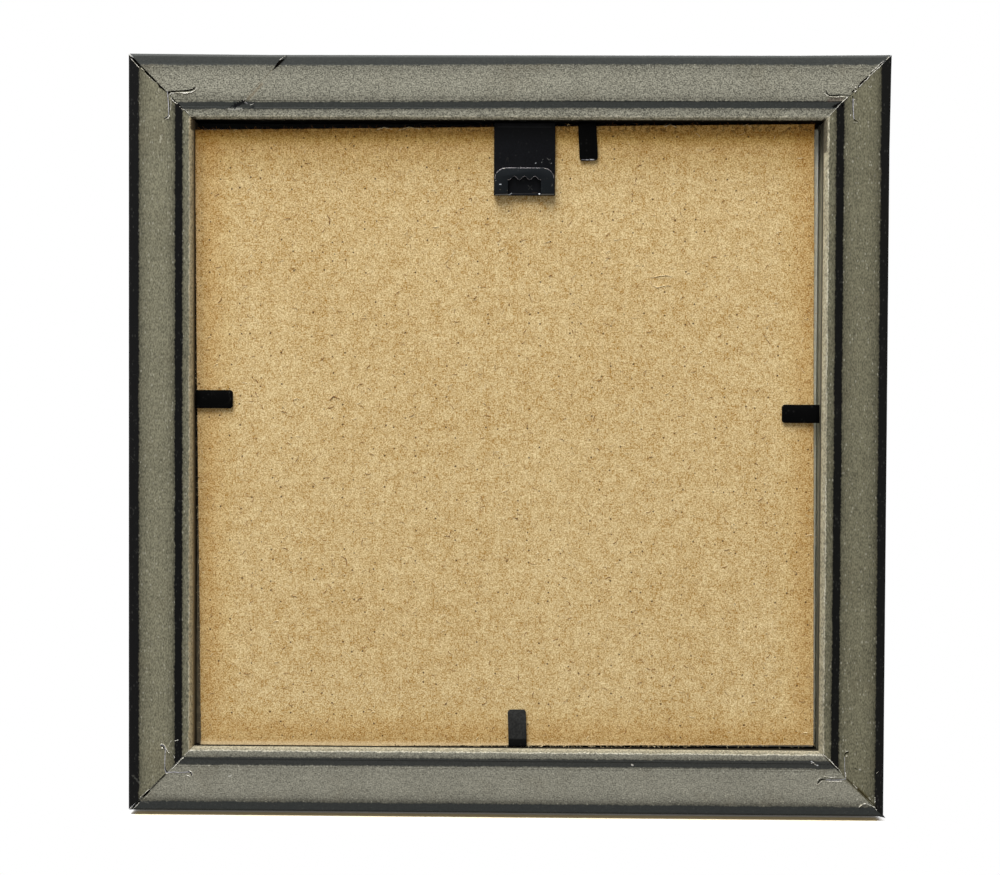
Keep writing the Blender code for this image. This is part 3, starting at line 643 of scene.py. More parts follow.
def makeBlackSteel(name, base, roughness, low=None, specular=0.06):
    # black lacquered strip steel with rubbed spots, dust and fine scratches, painted light on the raised flap and
    # painted shade under the top rail
    tree, place = startMaterial(name, roughness, specular)
    _, level, height = tree.split(place)
    grains = tree.use(speckle, Place=place, Scale=steelLook["grain"])
    scratch = tree.use(curlyLines, Place=place, Scale=steelLook["scratches"], Width=0.006, Amount=0.4,
                       Seed=2.6)["Line"]
    tone = tree.tint(base, grains["Grain"].ease(0.3, 0.7, 0.7, 1.3))
    # painted light: the raised flap lighter than the strap
    tone = tone.mix(level.ease(0.0049, 0.0052, 0.0, 0.6), colour(28, 32, 35))
    if low:
        tone = tone.mix(height.ease(low + 0.0003, low - 0.0003), colour(13, 13, 12))
    tone = tone.mix(grains["Bright"] * 0.04, colour(120, 120, 116)).mix(scratch * 0.08, colour(110, 106, 98))
    # painted shade of the top rail, darker towards the top
    tone = tree.tint(tone, height.ease(0.0985, 0.092, 0.4, 1.0))
    tone = addMarks(tree, place, tone, steelMarks, steelLook["markLevel"])
    smear = place.noise(300.0, 3.0).ease(0.3, 0.7, roughness - 0.08, roughness + 0.08)
    return tree.paint(tone, grains["Grain"], 0.5, steelLook["relief"], {"Roughness": smear})


def makeRubbedEdge():
    # where the lacquer is worn through to the steel, in short lengths
    tree, place = startMaterial("rubbedEdge", 0.4, 0.3)
    worn = place.noise(900.0, 3.0, 0.6).ease(0.36, 0.6)
    base = tree.blend(worn, colour(60, 60, 64), colour(176, 170, 172))
    return tree.paint(base, worn, 0.4, steelLook["relief"], {"Metallic": worn * 0.3})


def makeNailSteel():
    tree, place = startMaterial("wedgeSteel")
    streak = place.noise(1400.0, 3.0, 0.6)
    base = tree.blend(streak.ease(0.35, 0.65), colour(122, 121, 124), colour(178, 176, 180))
    return tree.paint(base, streak, 0.4, 0.00003, {"Metallic": 0.5})


def makeGlass():
    tree, place = startMaterial("clearGlass", 0.02)
    return tree.paint((0.93, 0.97, 0.95, 1.0), place.noise(12.0), 0.05, 0.0001,
                      {"Transmission Weight": 1.0, "IOR": 1.5})


def makePaper():
    tree, place = startMaterial("sheetPaper", 0.8, 0.3)
    pulp = place.noise(900.0, 4.0, 0.6)
    base = tree.blend(pulp.ease(0.3, 0.7), colour(228, 226, 218), colour(240, 238, 232))
    return tree.paint(base, pulp, 0.15, 0.00005)


def makeStrand(name, first, second, specular=0.15):
    tree, place = startMaterial(name, 0.8, specular)
    tone = place.noise(600.0)
    base = tree.blend(tone.ease(0.35, 0.65), colour(*first), colour(*second))
    return tree.paint(base, tone, 0.3, 0.00002)


mouldingPaintAndLight = makeRailPaint()
pressedFibre = makeBoardFibre()
blackLacquer = makeBlackSteel("blackLacquer", colour(9, 10, 13), 0.45)
deepLacquer = makeBlackSteel("deepLacquer", colour(2, 2, 2), 0.5, specular=0.03)
dullLacquer = makeBlackSteel("dullLacquer", colour(42, 42, 41), 0.6, -0.0983)
rubbedEdge = makeRubbedEdge()
wedgeSteel = makeNailSteel()
clearGlass = makeGlass()
sheetPaper = makePaper()
paleStrand = makeStrand("paleStrand", (206, 180, 130), (236, 220, 180))
darkStrand = makeStrand("darkStrand", (104, 66, 32), (150, 106, 58))
rawBurr = makeStrand("rawBurr", (188, 183, 166), (238, 235, 226))
deepShade = makeStrand("deepShade", (2, 2, 1), (8, 7, 5), 0.01)
# painted light and painted shade: one glass edge made lighter, one darker
litGlassEdge = makeStrand("litGlassEdge", (222, 224, 208), (238, 240, 224))
shadedGlassEdge = makeStrand("shadedGlassEdge", (112, 104, 86), (130, 120, 98))
print("materials made")


# Trees that draw along a path

def makeBeadTree():
    # an uneven round bead along each path, thinning to its ends
    tree, given = startGroup("unevenBead", {
        "Geometry": "Geometry", "Radius": 0.0001, "Uneven": 0.5, "Wander": 0.0001, "Step": 0.0002, "Seed": 1,
        "Finish": "Material"}, "GeometryNodeTree")
    path = tree.put("GeometryNodeMeshToCurve", {0: given["Geometry"]})
    path = tree.put("GeometryNodeResampleCurve", {"Curve": path, "Length": given["Step"]}, mode="LENGTH")
    at = tree.put("GeometryNodeInputPosition") + tree.join(given["Seed"] * 0.37)
    sway = at.noise(1400.0).also("Color") - (0.5, 0.5, 0.5)
    path = tree.put("GeometryNodeSetPosition", {"Geometry": path, "Offset": sway.scaled(given["Wander"])})
    swell = at.noise(2300.0).ease(0.35, 0.65, 1.0 - given["Uneven"], given["Uneven"] + 1.0)
    share = tree.put("GeometryNodeSplineParameter", output="Factor")
    ends = (share * (1.0 - share)).ease(0.0, 0.06, 0.15, 1.0)
    ring = tree.put("GeometryNodeCurvePrimitiveCircle", {"Resolution": 6, "Radius": given["Radius"]})
    return tree.giveShape(tree.put("GeometryNodeCurveToMesh", {
        "Curve": path, "Profile Curve": ring, "Scale": swell * ends, "Fill Caps": True}), given["Finish"])


def makeFuzzTree():
    # short curved strands that lie every way along a path
    tree, given = startGroup("looseStrands", {
        "Geometry": "Geometry", "Spacing": 0.0005, "Shortest": 0.0003, "Longest": 0.001, "Thickness": 0.06,
        "Scatter": 0.0003, "Lift": 0.3, "Rise": 0.3, "Roll": 3.14, "Seed": 1, "Finish": "Material"},
        "GeometryNodeTree")
    seed = given["Seed"]

    def eitherWay(reach, draw):
        values = {0: reach * (-1.0, -1.0, -1.0), 1: reach, "Seed": draw}
        return tree.put("FunctionNodeRandomValue", values, data_type="FLOAT_VECTOR")

    path = tree.put("GeometryNodeMeshToCurve", {0: given["Geometry"]})
    points = tree.put("GeometryNodeCurveToPoints", {"Curve": path, "Length": given["Spacing"]}, mode="LENGTH")
    jump = eitherWay(tree.join(1.0, given["Rise"], 1.0), seed).scaled(given["Scatter"])
    points = tree.put("GeometryNodeSetPosition", {"Geometry": points, "Offset": jump})
    bow = tree.put("GeometryNodeCurveQuadraticBezier", {"Resolution": 5, "Start": (0.0, 0.0, 0.0),
                                                        "Middle": (0.45, 0.03, 0.3), "End": (1.0, 0.0, 0.05)})
    thin = 1.0 - tree.put("GeometryNodeSplineParameter", output="Factor") * 0.7
    ring = tree.put("GeometryNodeCurvePrimitiveCircle", {"Resolution": 4, "Radius": given["Thickness"]})
    strand = tree.put("GeometryNodeCurveToMesh", {"Curve": bow, "Profile Curve": ring, "Scale": thin,
                                                  "Fill Caps": True})
    turned = eitherWay(tree.join(given["Roll"], 3.14, given["Lift"]), seed + 7.0)
    lengths = {2: given["Shortest"], 3: given["Longest"], "Seed": seed + 13.0}
    return tree.giveShape(tree.put("GeometryNodeInstanceOnPoints", {
        "Points": points, "Instance": strand, "Rotation": tree.put("FunctionNodeEulerToRotation", {0: turned}),
        "Scale": tree.put("FunctionNodeRandomValue", lengths, 1, data_type="FLOAT")}), given["Finish"])


beadTree = makeBeadTree()
fuzzTree = makeFuzzTree()


def drawPaths(name, tree, runs, values):
    dress(grow(name, runs, tree, values, 45.0, 0.0))


# Rails: the profile swept along each side and drawn in to the mitres
turns = {"bottom": 0.0, "left": -90.0, "top": 180.0, "right": 90.0}
# how far each mitre stands open at its outer tip and at the rabbet, at the start and the end of each rail's run
mitreGaps = {
    "bottom": (0.00006, 0.00003, 0.00012, 0.00002), "left": (0.00012, 0.00002, 0.00026, 0.00006),
    "top": (0.00026, 0.00006, 0.00010, 0.00004), "right": (0.00010, 0.00004, 0.00006, 0.00003),
}
# two corners a little out of square: the tip, how far its pull reaches, and the pull
tips = [((-0.122, 0.122), 0.03, (-0.0004, 0.00025)), ((0.122, 0.122), 0.045, (0.0, 0.00036))]


def mouldingProfile(side="top"):
    # across the rail from its outer side, then the depth from the back plane to the front
    steps = rail["steps"]
    drop, crownEnd, slope = rail["landDrop"], rail["grooveStart"], rail["crownSlope"]
    stripStart = crownEnd + rail["grooveWidth"]
    sight = rail["width"] + rail["lip"]
    sightFront = rail["rabbet"] + rail["sight"]
    beadStart, beadMiddle = sight - rail["bead"], sight - rail["bead"] / 2
    scoopFloor = sightFront - rail["quirk"]
    outer = rail["outerRound"][side]
    points = arc((outer, drop + outer), (outer, outer), 180, 270, steps)
    points += softStep((rail["land"], drop), (rail["land"] + slope, 0.0), steps)
    points += [(rail["land"] + slope + (crownEnd - rail["land"] - slope * 2) * part / 6, 0.0) for part in range(1, 6)]
    points += softStep((crownEnd - slope, 0.0), (crownEnd, drop), steps)
    trough = drop + rail["grooveDepth"]
    points += [(crownEnd + 0.0001, trough), (stripStart - 0.0001, trough), (stripStart, drop)]
    arrisStart = rail["width"] - rail["arrisWidth"]
    points += arc((arrisStart, drop + rail["arrisDepth"]), (rail["arrisWidth"], rail["arrisDepth"]), -90, 0, steps)
    points += [(rail["width"], rail["rabbet"]), (sight, rail["rabbet"]), (sight, sightFront)]
    points += arc((beadMiddle, sightFront), (rail["bead"] / 2, rail["beadRise"]), 0, 180, steps)[1:-1]
    points += [(beadStart, scoopFloor)]
    shoulder, front = rail["shoulder"], rail["depth"]
    scoop = (beadStart - shoulder - rail["crest"], front - scoopFloor)
    points += arc((beadStart, front), scoop, 270, 180, steps * 2)[1:]
    points += arc((shoulder, front - shoulder), (shoulder, shoulder), 90, 180, steps)
    return points


def backLevel(x, z):
    # the height of the moulding's back under a point
    inset = rail["halfRun"] - max(abs(x), abs(z))
    profile = mouldingProfile()
    for (lowInset, lowDepth), (highInset, highDepth) in zip(profile, profile[1:]):
        if lowInset <= inset < highInset:
            share = (inset - lowInset) / (highInset - lowInset)
            return rail["backY"] - lowDepth - (highDepth - lowDepth) * share
    return rail["backY"] - rail["landDrop"]


def onBack(spot, lift=0.0):
    # the point of the moulding's back that the photo shows at a pixel
    place = onPlane(spot, rail["backY"])
    level = backLevel(place.x, place.z)
    place = onPlane(spot, level)
    return (place.x, level + lift, place.z)


def makeRailTree():
    tree, given = startGroup("mitredRail", {
        "Geometry": "Geometry", "Half Run": 0.122, "Rail Width": 0.0209, "Back": 0.0075, "Closing Depth": 0.004,
        "Tip Gap Start": 0.0001, "Root Gap Start": 0.0, "Tip Gap End": 0.0001, "Root Gap End": 0.0,
        "Waviness": 0.00006, "Segments": 300, "Seed": 1, "Finish": "Material"}, "GeometryNodeTree")
    section = tree.put("GeometryNodeMeshToCurve", {0: given["Geometry"]})
    line = tree.put("GeometryNodeCurvePrimitiveLine", {"Start": (-1.0, 0.0, 0.0), "End": (1.0, 0.0, 0.0)})
    run = tree.put("GeometryNodeResampleCurve", {"Curve": line, "Count": given["Segments"]})
    sweep = tree.put("GeometryNodeCurveToMesh", {"Curve": run, "Profile Curve": section, "Fill Caps": True})
    share, inset, depth = tree.split(tree.put("GeometryNodeInputPosition"))
    inset, depth = inset * -1.0, depth * -1.0
    # more points towards both ends
    eased = share * 0.4 + (share * (math.pi / 2)).calc("SINE") * 0.6
    inward = inset / given["Rail Width"]
    atEnd = share.calc("GREATER_THAN", 0.0)
    gaps = [tree.choose(inward, given["Tip Gap " + end], given["Root Gap " + end]) for end in ("Start", "End")]
    seedShift = given["Seed"] * 3.7
    uneven = tree.join(inset, atEnd + seedShift).noise(420.0, 2.0, 0.6).ease(0.3, 0.7, 0.35, 1.65)
    closed = depth.ease(0.0, given["Closing Depth"], 1.0, 0.0)
    gap = tree.choose(atEnd, *gaps) * uneven * closed + 0.00001
    along = eased * (given["Half Run"] - inset - gap)
    at = tree.join(along, inset + seedShift, depth)
    sway = tree.split(at.noise(170.0, 3.0).also("Color") - (0.5, 0.5, 0.5))
    inset = sway[0] * given["Waviness"] + inset
    depth = sway[1] * given["Waviness"] + depth
    place = tree.join(along, given["Back"] - depth, inset - given["Half Run"])
    return tree.giveShape(tree.put("GeometryNodeSetPosition", {"Geometry": sweep, "Position": place}),
                          given["Finish"])


# Corner wedges as driven: for each stretch how far its edge stands off the back, its width, and its path in
# pixels of the photo
wedges = {
    "top_left": [
        (-0.0010, 0.00042, [(194.9, 87.2), (192.9, 89.5), (188.9, 90.3), (183, 90.8), (176, 91.2), (168.3, 92.6)]),
        (0.00006, 0.00026, [(167.1, 90.9), (167.9, 96.7), (168.4, 102.4), (168.7, 108), (168.7, 112), (168.4, 115.2),
                            (167.2, 116.9), (165, 117.9)]),
    ],
    "top_right": [
        (-0.0008, 0.0003, [(826.4, 90.9), (826.7, 92.6), (828.1, 94.7), (831, 95.6), (841.3, 94.6), (851, 95.2)]),
        (0.00006, 0.00026, [(852.5, 96), (853.1, 99.5), (853.1, 105.3), (853.4, 111), (853.6, 116.8), (854.2, 119.2)]),
    ],
    "bottom_left": [
        (0.00006, 0.00024, [(165.9, 772.7), (168.8, 772.3), (174.5, 771.9), (179.1, 772.6), (184.3, 772.2),
                            (188.6, 771.8), (190.8, 772.6), (192.2, 774.6)]),
        (0.00006, 0.00024, [(160.2, 745.3), (162.5, 744.7), (164.4, 746.6), (165.4, 749.9), (165.1, 753.9),
                            (164.8, 762.6), (164.8, 769.4), (165.9, 772.7)]),
    ],
    "bottom_right": [
        (0.00006, 0.00016, [(845.9, 779), (842.4, 779.7), (833.8, 780.1), (826, 779.9)]),
        (0.00006, 0.00016, [(845.9, 779), (845.2, 775), (844.8, 771), (844.6, 763), (844.5, 757)]),
        (-0.0010, 0.00034, [(826, 779.6), (821.6, 779.3), (819.8, 780.4), (818.2, 782.2), (817.4, 784)]),
        (-0.0010, 0.00026, [(844.5, 757), (844.5, 755.1), (846.2, 752.8), (848.5, 752.2)]),
    ],
}
# open slots beside and over the wedges: width, then path
slots = [
    (0.00040, [(170, 91.8), (173, 91.3), (178, 91), (183, 90.8), (188.9, 90.3), (192.4, 89.5), (194.4, 88),
               (195, 86.8)]),
    (0.00030, [(164, 118.4), (166.4, 117.6), (167.9, 115.8)]),
    (0.00012, [(169.5, 100), (169.6, 108), (169.4, 112)]),
    (0.00030, [(826.2, 90.6), (826.6, 92.6), (828.1, 94.6), (831, 95.6), (835.6, 95.2), (841.3, 94.6)]),
    (0.00014, [(841.3, 94.6), (846, 95), (851, 95.2)]),
    (0.00030, [(853.8, 119.2), (855.4, 120.7), (857.7, 121.4)]),
    (0.00012, [(852.4, 98.5), (852.2, 103), (852.4, 112)]),
    (0.00026, [(160.6, 745.8), (162.8, 745.6), (164, 747.4), (164.6, 749.8)]),
    (0.00028, [(187.6, 771), (190, 772), (191.3, 773.8), (191.8, 775.4)]),
    (0.00016, [(166.4, 773.6), (163.2, 776.8), (160.2, 779.8)]),
    (0.00008, [(160.2, 779.8), (156, 784.2), (152.1, 788.4)]),
    (0.00028, [(844.5, 755.6), (845.2, 753.8), (846.6, 752.7), (848.7, 752.2)]),
    (0.00036, [(824.2, 779.1), (821.6, 779.3), (819.8, 780.4), (818.2, 782.2), (817.4, 784.2)]),
    (0.00012, [(842, 778.6), (836, 779), (824, 778.9)]),
]
# splits and gaps of the mitres, as outlines
splits = [
    [(287.2, 55.4), (286.6, 56.8), (284.1, 59.8), (281.9, 61.7), (278.6, 65.4), (275.6, 67.8), (272.6, 70.2),
     (275.2, 66), (277.8, 62.2), (280.4, 59.2), (284.2, 56.6)],
    [(130, 57), (134.6, 60), (138.4, 63.2), (141.1, 67), (140.3, 67.7), (136.9, 64.6), (133.6, 61)],
    [(144.4, 70.4), (148.6, 74.2), (152.4, 77.6), (155.9, 81.4), (155.4, 82.2), (151.8, 78.6), (148, 75.2),
     (144.6, 71.6)],
    [(157.2, 83), (159.4, 84.6), (161.8, 87), (165.6, 90.6), (165.2, 91.3), (161.4, 88.2), (159.8, 87.8),
     (158.4, 85.4)],
    [(171.6, 98.2), (174.8, 100.8), (174.4, 101.6), (171.6, 99.2)],
    [(178.6, 103.6), (180.2, 105.4), (179.7, 106), (178.3, 104.6)],
    [(167.9, 91.2), (170.6, 91.1), (170.2, 92.6), (168.5, 93.8)],
    [(857.6, 86.8), (860.4, 82.8), (861.8, 81.2), (865.4, 78.2), (869.4, 75), (869, 76.4), (866, 79.4),
     (863, 82.6), (859.8, 85.8), (858, 87.4)],
    [(870.2, 73.6), (871, 72.2), (872.4, 72.8), (871.2, 74)], [(855, 89.2), (856.2, 88.4), (856, 89.4)],
    [(851.8, 91.6), (853, 90), (854.6, 90), (853.2, 91.6), (851.8, 92.8)],
    [(879.8, 64.8), (881.6, 62.6), (883.6, 61.6), (882.4, 63.4), (880.4, 65.2)],
    [(851.9, 95.8), (853.2, 96.6), (853.2, 98.6), (852.4, 98.2)],
    [(833.6, 107), (835.6, 104.8), (837.6, 104), (837.2, 105.8), (834.4, 107.4)],
    [(841.4, 104.4), (843.2, 104.8), (843, 106.8), (841.8, 106.4)],
    [(165.4, 766.4), (165.9, 769.4), (167.8, 771.6), (165.9, 771.6), (165.2, 769.4)],
    [(149, 789.8), (150.3, 790.6), (146.6, 794.8), (142.9, 797.6), (142.3, 796.9), (145.6, 793.4)],
    [(141.6, 797.8), (142.4, 798.4), (141.4, 799)],
    [(139.6, 800), (140.1, 801), (135.6, 805.6), (131.9, 808.7), (131.6, 808), (135, 804.4)],
    [(875.8, 806.6), (877.6, 808.2), (880.6, 810.6), (883.4, 811.8), (881.6, 812.6), (878, 811.4), (876.2, 809)],
]
driven = {"wedgeDepth": 0.007, "slotDepth": 0.0003, "slotLift": 0.00008}


def joinRings(work, rings):
    for first, second in zip(rings, rings[1:]):
        for index in range(len(first)):
            follow = (index + 1) % len(first)
            work.faces.new((first[index], first[follow], second[follow], second[index]))


def addRibbon(work, path, width, lift, drop, taper=0.0):
    # a strip that stands on edge along a path in pixels, its upper edge following the back
    spots = [onBack(spot) for spot in between(path, 1.2)]
    rings = []
    for index, (x, level, z) in enumerate(spots):
        before, after = spots[max(index - 1, 0)], spots[min(index + 1, len(spots) - 1)]
        run = Vector((after[0] - before[0], after[2] - before[2])).normalized()
        toEnd = min(index, len(spots) - 1 - index) / 2
        half = width / 2 * (1.0 - taper * max(0.0, 1.0 - toEnd))
        rings.append([work.verts.new((x - run.y * half * side, y, z + run.x * half * side))
                      for side, y in ((1, level - drop), (1, level + lift), (-1, level + lift), (-1, level - drop))])
    joinRings(work, rings)
    work.faces.new(rings[0])
    work.faces.new(rings[-1][::-1])


def addPrism(work, lowSpots, highSpots):
    lower = [work.verts.new(spot) for spot in lowSpots]
    upper = [work.verts.new(spot) for spot in highSpots]
    joinRings(work, [lower, upper])
    work.faces.new(lower)
    work.faces.new(upper[::-1])


def makeWedges():
    for corner, stretches in wedges.items():
        work = bmesh.new()
        for lift, width, path in stretches:
            addRibbon(work, path, width, lift, driven["wedgeDepth"])
        dress(addPiece("wedge_" + corner, work, 40.0), "frame", "v_nail_" + corner, [wedgeSteel])


def makeGaps():
    # painted shade: black plates a hair over the back stand for the dark inside the slots and splits
    work = bmesh.new()
    for width, path in slots:
        addRibbon(work, path, width, driven["slotLift"], driven["slotDepth"], 0.6)
    for outline in splits:
        addPrism(work, [onBack(spot, -driven["slotDepth"]) for spot in outline],
                 [onBack(spot, driven["slotLift"]) for spot in outline])
    bmesh.ops.triangulate(work, faces=[face for face in work.faces if len(face.verts) > 4])
    dress(addPiece("mitre_gaps", work), materials=[deepShade])


def makeRails():
    tree = makeRailTree()
    for number, (side, turn) in enumerate(turns.items()):
        loop = [(inset, depth, 0.0) for inset, depth in mouldingProfile(side)]
        tipStart, rootStart, tipEnd, rootEnd = mitreGaps[side]
        done = grow("moulding_" + side, [loop + loop[:1]], tree, {
            "Half Run": rail["halfRun"], "Rail Width": rail["width"], "Back": rail["backY"],
            "Tip Gap Start": tipStart, "Root Gap Start": rootStart, "Tip Gap End": tipEnd, "Root Gap End": rootEnd,
            "Segments": rail["segments"], "Seed": number + 1, "Finish": mouldingPaintAndLight}, 32.0, weld)
        done.data.transform(Matrix.Rotation(math.radians(turn), 4, "Y"))
        for vertex in done.data.vertices:
            for place, reach, (sideways, upwards) in tips:
                near = max(0.0, 1 - math.dist((vertex.co.x, vertex.co.z), place) / reach)
                vertex.co.x += near * sideways
                vertex.co.z += near * upwards
        dress(done, "frame", "rail_" + side)
        print("rail", side, len(done.data.polygons), "faces")


makeRails()
makeWedges()
makeGaps()

# Pale burrs that the saw and the wedges raised: thickness, unevenness, then paths in pixels of the photo
burrs = {
    "heavy": (0.00019, 0.4, [
        [(182.4, 93), (185, 93.4), (188.2, 93.3)],
        [(852.6, 84.6), (853, 86.6)], [(855, 87), (856.4, 88)], [(856.6, 90.2), (854.6, 92.4)],
        [(182.4, 759), (183.6, 757.4)], [(177, 764), (178.2, 763)], [(162, 747.2), (162.4, 749)],
        [(845.8, 756.4), (847.6, 755.8)], [(859, 807), (862, 804.8)],
    ]),
    "middle": (0.00012, 0.5, [
        [(169.4, 95.4), (170.4, 94), (172, 93.2), (176, 92.7), (182, 92.8), (188, 92.8), (191, 92.4),
         (193.6, 91.4), (195.6, 89.8), (196.8, 87.4)],
        [(129.4, 54.8), (131.4, 57.2)], [(130.8, 58.6), (134.4, 62.4), (137.4, 65.8), (139.6, 68.2)],
        [(141, 68.2), (143.6, 70.6)], [(172, 99.9), (174, 101.6), (176.2, 103.4), (177.8, 103.8)],
        [(165.2, 119.4), (167.6, 118.9), (169.2, 117.2), (169.9, 114.8)],
        [(823.6, 92), (825.2, 94.2), (827.8, 96.2), (832.7, 97), (836.6, 97.4), (840.1, 96.6), (844.7, 97.2),
         (847.6, 97.2)],
        [(847.6, 97.4), (844.4, 100.4), (841.4, 103)], [(853.4, 122.4), (857.4, 122.6)],
        [(886, 60.2), (888.4, 57.6), (890.4, 55.6)], [(868.6, 76.4), (870.8, 74.8)], [(850.8, 114.6), (851, 116.4)],
        [(160.2, 744.4), (163, 743.8), (165.4, 746.2), (166.2, 748.8), (167.8, 751.6), (169.9, 753.7)],
        [(189.4, 770.8), (191.8, 771.8), (193.1, 774.2), (192.4, 776.4)], [(165.6, 773.4), (168, 773.8)],
        [(180.2, 760.4), (182.4, 758.2)],
        [(822.4, 754.2), (825.2, 756.2), (831, 761.4), (835.6, 766.6), (839, 769.6)], [(845.6, 772), (846, 777.6)],
        [(862, 804.6), (866, 803.4)],
    ]),
    "fine": (0.00007, 0.6, [
        [(144.4, 72.6), (147.6, 76), (151, 79), (153.6, 81.4)], [(179.3, 105.9), (180.1, 107.2)],
        [(180.8, 108.6), (183.4, 109.4), (185.6, 110.2)], [(185.8, 110.6), (188.9, 114.5)],
        [(171.3, 97.2), (171, 104), (170.6, 111)], [(155, 91.4), (157.6, 93.6)], [(158, 90.4), (159.8, 92.8)],
        [(858.2, 87.8), (862.4, 83.8), (866.4, 80), (871.4, 74.6), (876, 70.2), (880.6, 66.2), (883.8, 62.6)],
        [(870.6, 72.2), (875.4, 68.4), (879.6, 64.2), (884.4, 60.4)],
        [(841, 103.4), (838.6, 105.8), (834, 111), (828.4, 116.6)], [(868.4, 85.4), (869.6, 87.6)],
        [(871.6, 85.8), (870, 88)], [(854.6, 99), (854.8, 106)],
        [(169.4, 743.6), (171.4, 740.8)], [(174.6, 741), (176.8, 740.2), (178.8, 739.8)], [(168.6, 747), (169.4, 744)],
        [(171.7, 769.4), (174.6, 766.6), (177, 764)], [(178.4, 762.6), (180.4, 760.2)],
        [(184.2, 756.6), (184.9, 753.9)],
        [(184.6, 755), (187.6, 752.4)], [(188, 751.2), (193, 750.9)],
        [(149.4, 789), (145, 793), (140.2, 797.4)], [(150.8, 791.8), (147, 795.8), (143.4, 799.2)],
        [(139.8, 802.4), (136, 806.2), (133.4, 808.8)], [(130.2, 809.2), (132, 807.2)],
        [(186, 774.8), (190, 776.4)], [(173.6, 755.8), (174.8, 758)], [(195, 742.4), (196.4, 741.4)],
        [(839, 769.6), (841.9, 774.2)], [(813.4, 754.5), (818.8, 754), (822.4, 754.4)],
        [(826, 781.4), (832, 781.6), (842.4, 781.2)], [(822.6, 781), (819.9, 782.8), (818.4, 784.6), (814.4, 784)],
        [(816.4, 781.4), (818.6, 778.8), (821.8, 777.6), (825.8, 776.4), (831, 777.4), (836.7, 777.2)],
        [(858, 798.6), (856.6, 800.4)], [(868.8, 797.2), (870.4, 799.6)], [(876.4, 773.4), (878.4, 771.6)],
        [(866, 803.6), (871, 805.6), (874.4, 807.2), (877, 810.8)], [(858.6, 807.4), (860.6, 805.6)],
        [(874.9, 797), (875, 803)], [(852.8, 783.8), (857.4, 788.8)], [(811, 763.6), (813.4, 762.4), (816.2, 765.6)],
        [(845.8, 751.6), (848.4, 750.9)], [(250, 105), (254, 103.8)], [(243, 100.6), (246.8, 98.6)],
        [(285.4, 55.8), (282.8, 57.6), (279.6, 60.2)],
    ]),
}


def makeBurrs():
    for number, (weight, (radius, uneven, paths)) in enumerate(burrs.items()):
        runs = [between([onBack(spot, radius * 0.35) for spot in path], 0.0004) for path in paths]
        drawPaths("burrs_" + weight, beadTree, runs, {
            "Radius": radius, "Uneven": uneven, "Wander": radius * 1.2, "Step": radius * 0.9, "Seed": number + 3,
            "Finish": rawBurr})


spur = {"below": 0.0003, "thick": 0.0019,
        "outline": [(874, 808.6), (879.6, 811.6), (884.6, 816.8), (885.4, 818), (878, 816.2), (870, 815.2)]}


def makeSpur():
    # the lower rail's tip stands a little proud of the mitre
    work = bmesh.new()
    high = rail["backY"] - spur["below"]
    spots = [onPlane(spot, high) for spot in spur["outline"]]
    addPrism(work, [(spot.x, high - spur["thick"], spot.z) for spot in spots], spots)
    dress(addPiece("mitre_spur", work), materials=[mouldingPaintAndLight])


makeBurrs()
makeSpur()
print("rails, wedges and burrs made")


# Backing board: hand-cut a little out of square, with torn edges; its outline in pixels of the photo
board = {"corners": [(194.8, 129.7), (814.5, 123.9), (814.4, 260), (814, 330), (813.9, 560), (813.6, 745.4),
                     (201, 746.5), (200.9, 735), (200.2, 700), (199.8, 640), (199.1, 580), (198.3, 520),
                     (197.6, 460), (196.1, 320), (195.8, 260), (195.2, 200)],
         "back": 0.0036, "front": 0.0011, "round": 0.00014, "ragged": 0.0002, "step": 0.0006,
         # how fine the tearing is, how wide it swings, and where and how deep it is nicked
         "tear": 1500, "swing": 260, "nicks": 620, "nickFrom": 0.25, "nickDepth": 2.2, "squareness": 0.0004}
# the ground edges of the glass that show beside it, the right one lightened by painted light, the left one darkened by
# painted shade
glassRims = {
    "glass_edge_right": ([(817.9, 129.6), (817.3, 160), (817, 210), (816.9, 260), (816.4, 320), (816.1, 380),
                          (815.8, 460), (815.4, 520), (815.1, 580), (814.9, 640), (814.5, 720), (814.3, 743)], -5),
    "glass_edge_left": ([(196.6, 743), (196.6, 640), (196.9, 580), (197.6, 500)], 5),
}
rimPlace = {"below": 0.0002, "thick": 0.0008}


def boardOutline():
    corners = [onPlane(spot, board["back"]) for spot in board["corners"]]
    outline = []
    for start, end in zip(corners, corners[1:] + corners[:1]):
        outline += between([(start.x, start.z), (end.x, end.z)], board["step"])[:-1]
    return outline


def makeGlassRims():
    level = board["front"] - rimPlace["below"]
    for name, (path, inward) in glassRims.items():
        work = bmesh.new()
        spots = [onPlane(spot, level) for spot in path]
        spots += [onPlane((x + inward, y), level) for x, y in reversed(path)]
        addPrism(work, [(spot.x, level - rimPlace["thick"], spot.z) for spot in spots], spots)
        dress(addPiece(name, work), materials=[litGlassEdge if inward < 0 else shadedGlassEdge])


